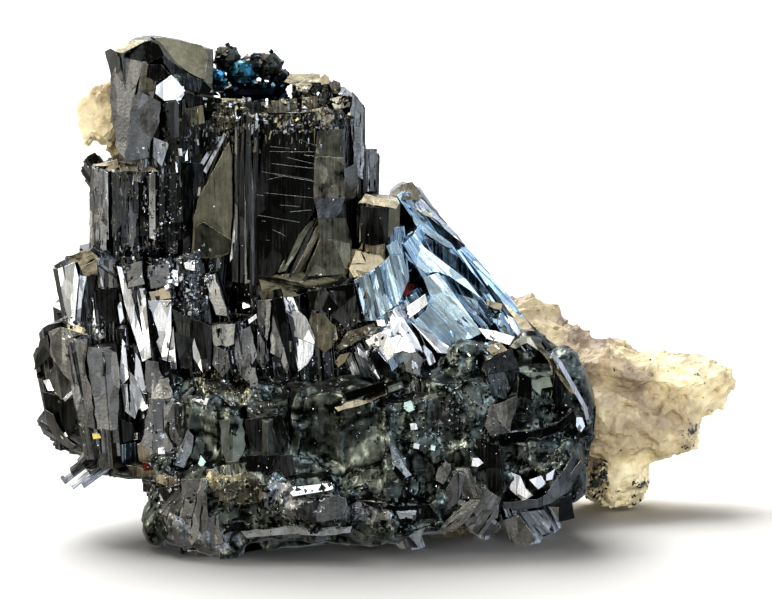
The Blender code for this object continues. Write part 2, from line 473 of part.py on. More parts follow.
def main():
    for old in list(bpy.data.objects):
        bpy.data.objects.remove(old)
    specimen = bpy.data.collections.new("pyrargyrite_specimen")
    cutters = bpy.data.collections.new("cutters")
    for collection in (specimen, cutters):
        bpy.context.scene.collection.children.link(collection)

    cluster = join("pyrargyrite_cluster", crystal_shapes(cutters), specimen)
    room = join("room_for_crystals", crystal_shapes(cutters, GAP), cutters)
    below = ground(cutters)
    for cutter in (room, below):
        cutter.hide_render = True
        cutter.display_type = "WIRE"
    stone, overgrowth = rock(specimen), crust(specimen)
    for thing, cutter in ((cluster, below), (stone, below), (overgrowth, room)):
        apply_modifier(thing, "BOOLEAN", operation="DIFFERENCE", object=cutter)
    # The exact solver leaves edges open where the rough rock meets the crystals.
    apply_modifier(stone, "BOOLEAN", operation="DIFFERENCE", object=room, solver="MANIFOLD")

    stand = bpy.data.objects.new("specimen_middle", None)
    stand.location = (-MIDDLE[0] * MM, -MIDDLE[1] * MM, 0)
    specimen.objects.link(stand)
    for thing in (cluster, stone, overgrowth):
        finish_solid(thing)
        give_finish(thing)
        thing.parent = stand


main()
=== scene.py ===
import json
import math
import random

import bmesh
import bpy
import numpy as np
from mathutils import Matrix, Vector, noise
from mathutils.bvhtree import BVHTree
from mathutils.kdtree import KDTree

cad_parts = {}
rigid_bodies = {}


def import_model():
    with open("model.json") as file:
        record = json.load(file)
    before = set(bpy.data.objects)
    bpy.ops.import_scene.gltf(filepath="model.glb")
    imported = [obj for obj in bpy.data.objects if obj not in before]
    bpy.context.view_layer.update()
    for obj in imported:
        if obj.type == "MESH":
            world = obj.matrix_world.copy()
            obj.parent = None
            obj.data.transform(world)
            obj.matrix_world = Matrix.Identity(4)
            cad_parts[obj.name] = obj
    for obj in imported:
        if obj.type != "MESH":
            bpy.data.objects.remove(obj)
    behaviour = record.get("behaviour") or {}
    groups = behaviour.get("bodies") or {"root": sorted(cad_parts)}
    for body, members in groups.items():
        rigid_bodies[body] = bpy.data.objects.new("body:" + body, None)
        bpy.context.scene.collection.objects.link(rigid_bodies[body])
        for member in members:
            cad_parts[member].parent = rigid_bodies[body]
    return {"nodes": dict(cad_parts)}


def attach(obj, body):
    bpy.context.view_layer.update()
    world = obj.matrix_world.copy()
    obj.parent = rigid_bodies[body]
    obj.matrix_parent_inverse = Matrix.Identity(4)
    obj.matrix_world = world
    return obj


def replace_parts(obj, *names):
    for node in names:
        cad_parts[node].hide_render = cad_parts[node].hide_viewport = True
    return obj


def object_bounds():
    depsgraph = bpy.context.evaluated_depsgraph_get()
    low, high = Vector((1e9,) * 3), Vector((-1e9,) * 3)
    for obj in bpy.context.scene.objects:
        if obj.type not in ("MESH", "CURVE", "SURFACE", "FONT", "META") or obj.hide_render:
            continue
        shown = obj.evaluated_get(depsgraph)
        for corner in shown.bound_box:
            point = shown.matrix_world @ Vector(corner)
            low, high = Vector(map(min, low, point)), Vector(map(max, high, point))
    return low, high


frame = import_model()
cadBox = [list(corner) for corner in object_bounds()]

mm = 0.001                             # one table unit, in metres
middle = Vector((0.3, 0.5, 0.0))       # where the tables have the middle of the specimen
viewTarget = Vector((0.0, 0.0, 12.5))  # the camera looks at this point of the tables
viewElevation = 10.0                   # degrees above the horizon
viewDistance = 300.0
viewWidth = 42.46                      # what the frame takes in at the target, from side to side
front, right, back, left = 270, 0, 90, 180   # compass of a crystal's slanting end faces

rise = math.radians(viewElevation)
eye = viewTarget + viewDistance * Vector((0, -math.cos(rise), math.sin(rise)))
sceneObjects = bpy.context.scene.collection.objects


def eyeWay(x, z):
    # the way from the eye to a place on the view plane, which is where the tables have Y = 0
    return (Vector((x, 0, z)) - eye).normalized()


def readRows(items, key):
    # a vector property of every item, as the rows of an array
    values = np.empty(len(items) * 3)
    items.foreach_get(key, values)
    return values.reshape(-1, 3)


def linear(code):
    # sRGB hex to linear
    parts = [int(code[i:i + 2], 16) / 255 for i in (1, 3, 5)]
    return tuple(c / 12.92 if c <= 0.04045 else ((c + 0.055) / 1.055) ** 2.4 for c in parts) + (1.0,)


def addNode(tree, kind, settings=None, links=None):
    # one node: a setting is a property of the node or the value of a socket, a link feeds a socket from
    # another node's first output or from the output that is named
    made = tree.nodes.new(kind)
    for key, value in (settings or {}).items():
        if isinstance(key, str) and hasattr(made, key):
            setattr(made, key, value)
        else:
            made.inputs[key].default_value = value
    for key, source in (links or {}).items():
        tree.links.new(source.outputs[0] if hasattr(source, "outputs") else source, made.inputs[key])
    return made


def newMaterial(name):
    material = bpy.data.materials.new(name)
    material.use_nodes = True
    material.node_tree.nodes.clear()
    return material


# Pyrargyrite has an adamantine, nearly metallic lustre, so every finish of it is a metal, and the crumbs
# that sit on it are too small to tell from one. Dark and light are the two ends of the tone that each
# crystal has. The tone is partly the crystal's own lustre and partly painted reflection and painted shade:
# a face that is to shine gets a light tone, one that is to stay black a tone near 0. Spacing, blotch, chip
# and pit are in millimetres. Real growth lines are finer than 0.05 mm, which doesn't show, so they are
# drawn 0.1 mm apart and more.
sharedFinish = dict(roughness=0.30, spacing=0.12, stretch=0.03, relief=0.008, blotch=0.4, mottle=0.12,
                    streak=0.05, chip=0.9, shift=0.20, tilt=0.24)
crystalFinishes = {
    # prism faces as they grew: nearly black, with fine lines along the crystal
    "grown": dict(sharedFinish, title="pyrargyriteGrownFace", dark="#0a0b09", light="#8e8f8a",
        roughness=0.15, spacing=0.10, blotch=1.1, mottle=0.05, streak=0.06, shift=0.05, tilt=0.16),
    # clean prism faces: steel grey
    "steel": dict(sharedFinish, title="pyrargyriteSteelFace", dark="#0f1112", light="#f2f6f7",
        roughness=0.17, blotch=0.9, streak=0.16, chip=0.7, shift=0.16, tilt=0.26),
    # fresh cleavage: a mirror that goes white in the light
    "cleavage": dict(sharedFinish, title="pyrargyriteCleavage", dark="#1c2022", light="#fffffc",
        roughness=0.14, stretch=0.05, relief=0.006, blotch=0.7, mottle=0.16, streak=0.20, chip=0.5,
        tilt=0.30),
    # a thin blue film on silver: bright, but cold
    "tarnished": dict(sharedFinish, title="pyrargyriteBlueTarnish", dark="#070b0f", light="#b6d0de",
        roughness=0.18, spacing=0.14, blotch=0.9, streak=0.20, chip=0.6, shift=0.18),
    # etched until it is a matt grey with pits
    "etched": dict(sharedFinish, title="pyrargyriteEtched", dark="#0c0d0c", light="#aaa9a3", spacing=0.22,
        stretch=0.20, relief=0.024, blotch=0.6, mottle=0.10, streak=0.08, chip=0.6, shift=0.14, pit=0.16),
    # a brown film of iron, which dulls the lustre to bronze
    "stained": dict(sharedFinish, title="pyrargyriteIronStain", dark="#0c0a07", light="#d6c8a6",
        roughness=0.28, stretch=0.06, relief=0.010, blotch=0.5, mottle=0.14, streak=0.10, chip=0.5,
        shift=0.16),
    # an olive film, through which the column still shines
    "olive": dict(sharedFinish, title="pyrargyriteOliveFilm", dark="#0b0b08", light="#b2aa8a",
        roughness=0.22, stretch=0.04, blotch=0.7, streak=0.10, shift=0.08, tilt=0.12),
    # worn round and coated green-black: a soft sheen without a mirror
    "mossy": dict(sharedFinish, title="pyrargyriteGreenCoat", dark="#070a08", light="#8d9486", spacing=0.34,
        stretch=0.50, relief=0.016, blotch=0.8, mottle=0.20, streak=0.06, shift=0.10, tilt=0.18),
    # the ruby red that thin edges let through
    "ruby": dict(sharedFinish, title="pyrargyriteRubyEdge", dark="#150605", light="#7a2f22", roughness=0.24,
        spacing=0.20, stretch=0.30, relief=0.010, mottle=0.25, chip=0.4, tilt=0.20),
    # crumbs of a green copper mineral: pale and dull
    "mint": dict(sharedFinish, title="malachiteCrumb", dark="#4c6f64", light="#cfe6dc", roughness=0.50,
        spacing=0.20, stretch=0.50, relief=0.010, mottle=0.20, chip=0.3, tilt=0.20),
    # crumbs of pyrite: small brassy glints
    "gold": dict(sharedFinish, title="pyriteCrumb", dark="#6f5a24", light="#f2d978", roughness=0.25,
        spacing=0.20, stretch=0.50, relief=0.006, mottle=0.20, chip=0.3, shift=0.30, tilt=0.30),
}
finishOrder = list(crystalFinishes)


# edges drawn lighter, partly as chipped wear and partly as a painted edge highlight: the radius in
# millimetres, and how much lighter they are
edgeWearAndGlint = dict(radius=0.035, tone=0.45)


def crystalMaterial(look):
    tree = newMaterial(look["title"]).node_tree
    tone = addNode(tree, "ShaderNodeAttribute", {"attribute_name": "tone"}).outputs["Fac"]
    grain = addNode(tree, "ShaderNodeAttribute", {"attribute_name": "grain"}).outputs["Vector"]
    place = addNode(tree, "ShaderNodeTexCoord").outputs["Object"]
    fine, coarse, chip, tilt = 1 / look["spacing"], 1000 / look["blotch"], 1 / look["chip"], look["tilt"]
    space = addNode(tree, "ShaderNodeMapping", {"Scale": (fine, fine, fine * look["stretch"])},
                    {"Vector": grain})
    lines = addNode(tree, "ShaderNodeTexNoise", {"Scale": 1.0, "Detail": 3.0, "Roughness": 0.65},
                    {"Vector": space})
    space = addNode(tree, "ShaderNodeMapping", {"Scale": (coarse,) * 3}, {"Vector": place})
    blotches = addNode(tree, "ShaderNodeTexNoise", {"Scale": 1.0, "Detail": 5.0, "Roughness": 0.6},
                       {"Vector": space})
    space = addNode(tree, "ShaderNodeMapping", {"Scale": (chip, chip, chip * 0.4)}, {"Vector": grain})
    chips = addNode(tree, "ShaderNodeTexVoronoi", {"Scale": 1.0}, {"Vector": space})
    red = addNode(tree, "ShaderNodeSeparateColor", links={"Color": chips.outputs["Color"]})
    shade = tone       # shifted chip by chip, blotch by blotch and line by line
    for key, source, low, high in (("shift", red, 0.0, 1.0), ("mottle", blotches, 0.3, 0.7),
                                   ("streak", lines, 0.3, 0.7)):
        moved = addNode(tree, "ShaderNodeMapRange",
                        {"From Min": low, "From Max": high, "To Min": -look[key], "To Max": look[key]},
                        {"Value": source})
        shade = addNode(tree, "ShaderNodeMath", {"operation": "ADD"}, {0: shade, 1: moved})
    # edges are rounded, so they catch the light, and drawn lighter in patches along them:
    # chipped wear and a painted edge highlight
    edge = addNode(tree, "ShaderNodeBevel", {"samples": 4, "Radius": edgeWearAndGlint["radius"] * mm})
    outward = addNode(tree, "ShaderNodeNewGeometry").outputs["True Normal"]
    alike = addNode(tree, "ShaderNodeVectorMath", {"operation": "DOT_PRODUCT"}, {0: edge, 1: outward})
    edgeBand = addNode(tree, "ShaderNodeMapRange", {"From Min": 0.995, "From Max": 0.90},
                      {"Value": alike.outputs["Value"]})
    patchy = addNode(tree, "ShaderNodeMapRange",
                     {"From Min": 0.45, "From Max": 0.6, "To Max": edgeWearAndGlint["tone"]}, {"Value": lines})
    worn = addNode(tree, "ShaderNodeMath", {"operation": "MULTIPLY"}, {0: edgeBand, 1: patchy})
    shade = addNode(tree, "ShaderNodeMath", {"operation": "ADD", "use_clamp": True}, {0: shade, 1: worn})
    colour = addNode(tree, "ShaderNodeMix", {"data_type": "RGBA", 6: linear(look["dark"]),
                                             7: linear(look["light"])}, {0: shade})
    height = lines
    if "pit" in look:
        space = addNode(tree, "ShaderNodeMapping", {"Scale": (1000 / look["pit"],) * 3}, {"Vector": place})
        pits = addNode(tree, "ShaderNodeTexVoronoi", {"Scale": 1.0}, {"Vector": space})
        height = addNode(tree, "ShaderNodeMath", {"operation": "MULTIPLY"}, {0: pits, 1: lines})
    rough = addNode(tree, "ShaderNodeMapRange",
                    {"From Min": 0.3, "From Max": 0.7, "To Min": look["roughness"] - 0.07,
                     "To Max": look["roughness"] + 0.09}, {"Value": blotches})
    # each chip leans its own way
    lean = addNode(tree, "ShaderNodeVectorMath",
                   {"operation": "MULTIPLY_ADD", 1: (tilt,) * 3, 2: (-tilt / 2,) * 3},
                   {0: chips.outputs["Color"]})
    leant = addNode(tree, "ShaderNodeVectorMath", links={0: edge, 1: lean})
    leant = addNode(tree, "ShaderNodeVectorMath", {"operation": "NORMALIZE"}, {0: leant})
    relief = addNode(tree, "ShaderNodeBump", {"Strength": 0.8, "Distance": look["relief"] * mm},
                     {"Height": height, "Normal": leant})
    shader = addNode(tree, "ShaderNodeBsdfPrincipled", {"Metallic": 1.0},
                     {"Base Color": colour.outputs[2], "Roughness": rough, "Normal": relief})
    addNode(tree, "ShaderNodeOutputMaterial", links={"Surface": shader})


# solids wait in stock until they are joined
stock = bpy.data.collections.new("stock")
bpy.context.scene.collection.children.link(stock)
made = []   # for each solid: the matrix from the tables to its own axes, its finish and its tone


def axisFrame(foot, tip, roll):
    # local Z runs from foot to tip, local X as near the right as it can
    up = (tip - foot).normalized()
    side = Vector((1, 0, 0)) if abs(up.x) < 0.8 else Vector((0, 0, -1 if up.x > 0 else 1))
    away = up.cross(side).normalized()
    side = away.cross(up)
    turned = Matrix((side, away, up)).transposed() @ Matrix.Rotation(math.radians(roll), 3, "Z")
    return Matrix.Translation(foot) @ turned.to_4x4()


def stockSolid(points, faces, place, finish, tone):
    # points are in the solid's own axes, in millimetres
    data = bpy.data.meshes.new(f"solid{len(made)}")
    data.from_pydata([place @ Vector(point) for point in points], [], faces)
    mark = data.attributes.new("crystal", "INT", "FACE")
    mark.data.foreach_set("value", [len(made)] * len(faces))
    thing = bpy.data.objects.new(data.name, data)
    stock.objects.link(thing)
    made.append((place.inverted(), finishOrder.index(finish), min(max(tone, 0.0), 1.0)))
    return thing


boxFaces = ((0, 3, 2, 1), (4, 5, 6, 7), (0, 1, 5, 4), (1, 2, 6, 5), (2, 3, 7, 6), (3, 0, 4, 7))


def boxPoints(a, b, c, start=(0, 0, 0)):
    # corners of a box or a rhomb on three edges
    a, b, c, start = Vector(a), Vector(b), Vector(c), Vector(start)
    return [start, start + a, start + a + b, start + b, start + c, start + a + c, start + a + b + c,
            start + b + c]


def restock(thing):
    sceneObjects.unlink(thing)
    stock.objects.link(thing)


def joinStock(name):
    # every solid in stock as one closed mesh in millimetres, with the mark of its crystal on each face
    shapes = list(stock.objects)
    whole = shapes[0]
    stock.objects.unlink(whole)
    sceneObjects.link(whole)
    union = whole.modifiers.new("union", "BOOLEAN")
    union.operation, union.operand_type = "UNION", "COLLECTION"
    union.collection, union.solver = stock, "MANIFOLD"
    graph = bpy.context.evaluated_depsgraph_get()
    data = bpy.data.meshes.new_from_object(whole.evaluated_get(graph))
    for shape in shapes:
        bpy.data.objects.remove(shape)
    data.name = name
    thing = bpy.data.objects.new(name, data)
    sceneObjects.link(thing)
    return thing


def trimToBox(thing):
    # cuts off what leaves the solids' box, as where a crystal would go into the floor
    low, high = (Vector(corner) / mm + middle for corner in cadBox)
    box = stockSolid(boxPoints(*(Vector(edge) for edge in np.diag(high - low).tolist())), boxFaces,
                     Matrix.Translation(low), "etched", 0.15)
    stock.objects.unlink(box)
    sceneObjects.link(box)
    applyTo(thing, "BOOLEAN", operation="INTERSECT", object=box, solver="MANIFOLD")
    bpy.data.objects.remove(box)


def dropLoose(data):
    # keeps the largest connected body, and takes away the crumbs that touch nothing
    mesh = bmesh.new()
    mesh.from_mesh(data)
    largest = []
    for first in mesh.verts:
        if first.tag:
            continue
        first.tag = True
        island = [first]
        for vert in island:
            for edge in vert.link_edges:
                other = edge.other_vert(vert)
                if not other.tag:
                    other.tag = True
                    island.append(other)
        largest = max(largest, island, key=len)
    kept = set(largest)
    bmesh.ops.delete(mesh, geom=[vert for vert in mesh.verts if vert not in kept], context="VERTS")
    faults = sum(len(edge.link_faces) != 2 for edge in mesh.edges)
    print("cluster body:", len(mesh.verts), "corners,", faults, "open edges")
    mesh.to_mesh(data)
    mesh.free()


def finishJoined(thing, paint=None):
    # material, tone and own coordinates of every face, from the crystal that it belongs to
    data = thing.data
    count = len(data.polygons)
    mark = np.empty(count, np.int32)
    data.attributes["crystal"].data.foreach_get("value", mark)
    finish = np.array([entry[1] for entry in made], np.int32)
    tone = np.array([entry[2] for entry in made], np.float32)
    inverse = np.array([[list(row) for row in entry[0]] for entry in made])
    data.materials.clear()
    for look in crystalFinishes.values():
        data.materials.append(bpy.data.materials[look["title"]])
    faceFinish, faceTone = finish[mark], tone[mark]
    if paint:
        paint(data, mark, faceFinish, faceTone)
    data.polygons.foreach_set("material_index", faceFinish)
    data.attributes.new("tone", "FLOAT", "FACE").data.foreach_set("value", np.clip(faceTone, 0, 1))
    spots = readRows(data.vertices, "co")
    corner = np.empty(len(data.loops), np.int32)
    data.loops.foreach_get("vertex_index", corner)
    sizes = np.empty(count, np.int32)
    data.polygons.foreach_get("loop_total", sizes)
    owner = np.repeat(mark, sizes)
    here = spots[corner]
    own = np.einsum("nij,nj->ni", inverse[owner][:, :3, :3], here) + inverse[owner][:, :3, 3]
    own += (owner % 97)[:, None] * 3.1    # no two crystals share their lines
    grain = data.attributes.new("grain", "FLOAT_VECTOR", "CORNER")
    grain.data.foreach_set("vector", own.astype(np.float32).ravel())
    data.vertices.foreach_set("co", ((spots - np.array(middle)) * mm).ravel())
    data.update()


def cutOff(mesh, point, normal):
    # takes away what lies beyond a plane and closes the cut
    parts = mesh.verts[:] + mesh.edges[:] + mesh.faces[:]
    cut = bmesh.ops.bisect_plane(mesh, geom=parts, plane_co=point, plane_no=normal, clear_outer=True)
    rim = [edge for edge in cut["geom_cut"] if isinstance(edge, bmesh.types.BMEdge)]
    bmesh.ops.edgenet_fill(mesh, edges=rim)
    bmesh.ops.recalc_face_normals(mesh, faces=mesh.faces)


def pointsAndFaces(mesh):
    # what from_pydata takes, and the mesh is done with
    mesh.verts.index_update()
    points = [vert.co.copy() for vert in mesh.verts]
    faces = [[vert.index for vert in face.verts] for face in mesh.faces]
    mesh.free()
    return points, faces


# what growth leaves on a crystal, in millimetres or as a share of its size
ribStyle = dict(width=(0.06, 0.34), widest=1.2, proud=(0.2, 0.95), sunk=0.35, shortest=0.3,
                tone=(-0.10, 0.12))
stepStyle = dict(size=(0.12, 0.30), reach=(0.1, 0.75), sunk=1.2, tone=(-0.10, 0.20))


def slantPlane(slant, halfAcross, halfDepth, length):
    compass, slope, drop = slant
    turn, slope = math.radians(compass), math.radians(slope)
    rim = Vector((math.cos(turn) * halfAcross, math.sin(turn) * halfDepth, length - drop))
    normal = Vector((math.cos(turn) * math.sin(slope), math.sin(turn) * math.sin(slope), math.cos(slope)))
    return rim, normal


def growCrystal(row, habit, rng):
    # one crystal: a core and the ribs and steps that its growth left on it
    foot, tip, across, depth, roll, slants, finish, tone = row
    foot, tip = Vector(foot), Vector(tip)
    length = (tip - foot).length
    place = axisFrame(foot, tip, roll)
    halfAcross, halfDepth = across / 2, depth / math.sqrt(3)
    slants = slants or ((rng.choice((front, front, right, left)), rng.uniform(12, 32), 0.1 * across),)
    planes = [slantPlane(slant, halfAcross, halfDepth, length) for slant in slants]
    shrink = habit["rib"]
    mesh = bmesh.new()
    bmesh.ops.create_cone(mesh, cap_ends=True, segments=6, radius1=1, radius2=1, depth=length)
    bmesh.ops.scale(mesh, vec=(halfAcross - shrink, halfDepth - shrink, 1), verts=mesh.verts)
    bmesh.ops.translate(mesh, vec=(0, 0, length / 2), verts=mesh.verts)
    for point, normal in planes:
        cutOff(mesh, point - normal * habit["step"], normal)
    stockSolid(*pointsAndFaces(mesh), place, finish, tone)

    def topAt(x, y):
        tops = [p.z - (n.x * (x - p.x) + n.y * (y - p.y)) / n.z for p, n in planes]
        return min(tops + [length])

    rimPoints = [Vector((math.cos(math.radians(60 * i)) * halfAcross,
                         math.sin(math.radians(60 * i)) * halfDepth, 0)) for i in range(6)]
    for i in range(6):
        corner = rimPoints[i]
        run = rimPoints[(i + 1) % 6] - corner
        side = run.length
        run.normalize()
        out = Vector((run.y, -run.x, 0))
        for _ in range(int(side * habit["ribs"])):
            width = rng.uniform(*ribStyle["width"]) * min(side, ribStyle["widest"])
            at = rng.uniform(0, side - width)
            proud = rng.uniform(*ribStyle["proud"]) * shrink
            base = corner + run * at - out * shrink
            heights = [topAt(*(base + run * w + out * o).xy) for w in (0, width) for o in (0, proud)]
            short = rng.uniform(0, 0.25) if rng.random() < 0.6 else rng.uniform(0, 0.5) * length
            top = min(heights) - short
            low = rng.uniform(0, 0.3) * length if rng.random() < 0.5 else 0.0
            if top - low < ribStyle["shortest"]:
                continue
            start = base + out * proud + Vector((0, 0, low))
            points = boxPoints(run * width, -out * ribStyle["sunk"], (0, 0, top - low), start)
            stockSolid(points, boxFaces, place, finish, tone + rng.uniform(*ribStyle["tone"]))
    for _ in range(int(across * depth * habit["steps"])):
        size = rng.uniform(*stepStyle["size"]) * min(across, depth)
        angle, reach = rng.uniform(0, 2 * math.pi), rng.uniform(*stepStyle["reach"])
        centre = Vector((math.cos(angle) * (halfAcross - size) * reach,
                         math.sin(angle) * (halfDepth - size) * reach, 0))
        half = Vector((size, size * rng.uniform(0.5, 1.0), 0))
        heights = [topAt(centre.x + sx * half.x, centre.y + sy * half.y) for sx in (-1, 1) for sy in (-1, 1)]
        top = min(heights) - rng.uniform(0, 0.15)
        sunk = stepStyle["sunk"]
        points = boxPoints((2 * half.x, 0, 0), (0, 2 * half.y, 0), (0, 0, sunk),
                           centre - half + Vector((0, 0, top - sunk)))
        stockSolid(points, boxFaces, place, finish, tone + rng.uniform(*stepStyle["tone"]))


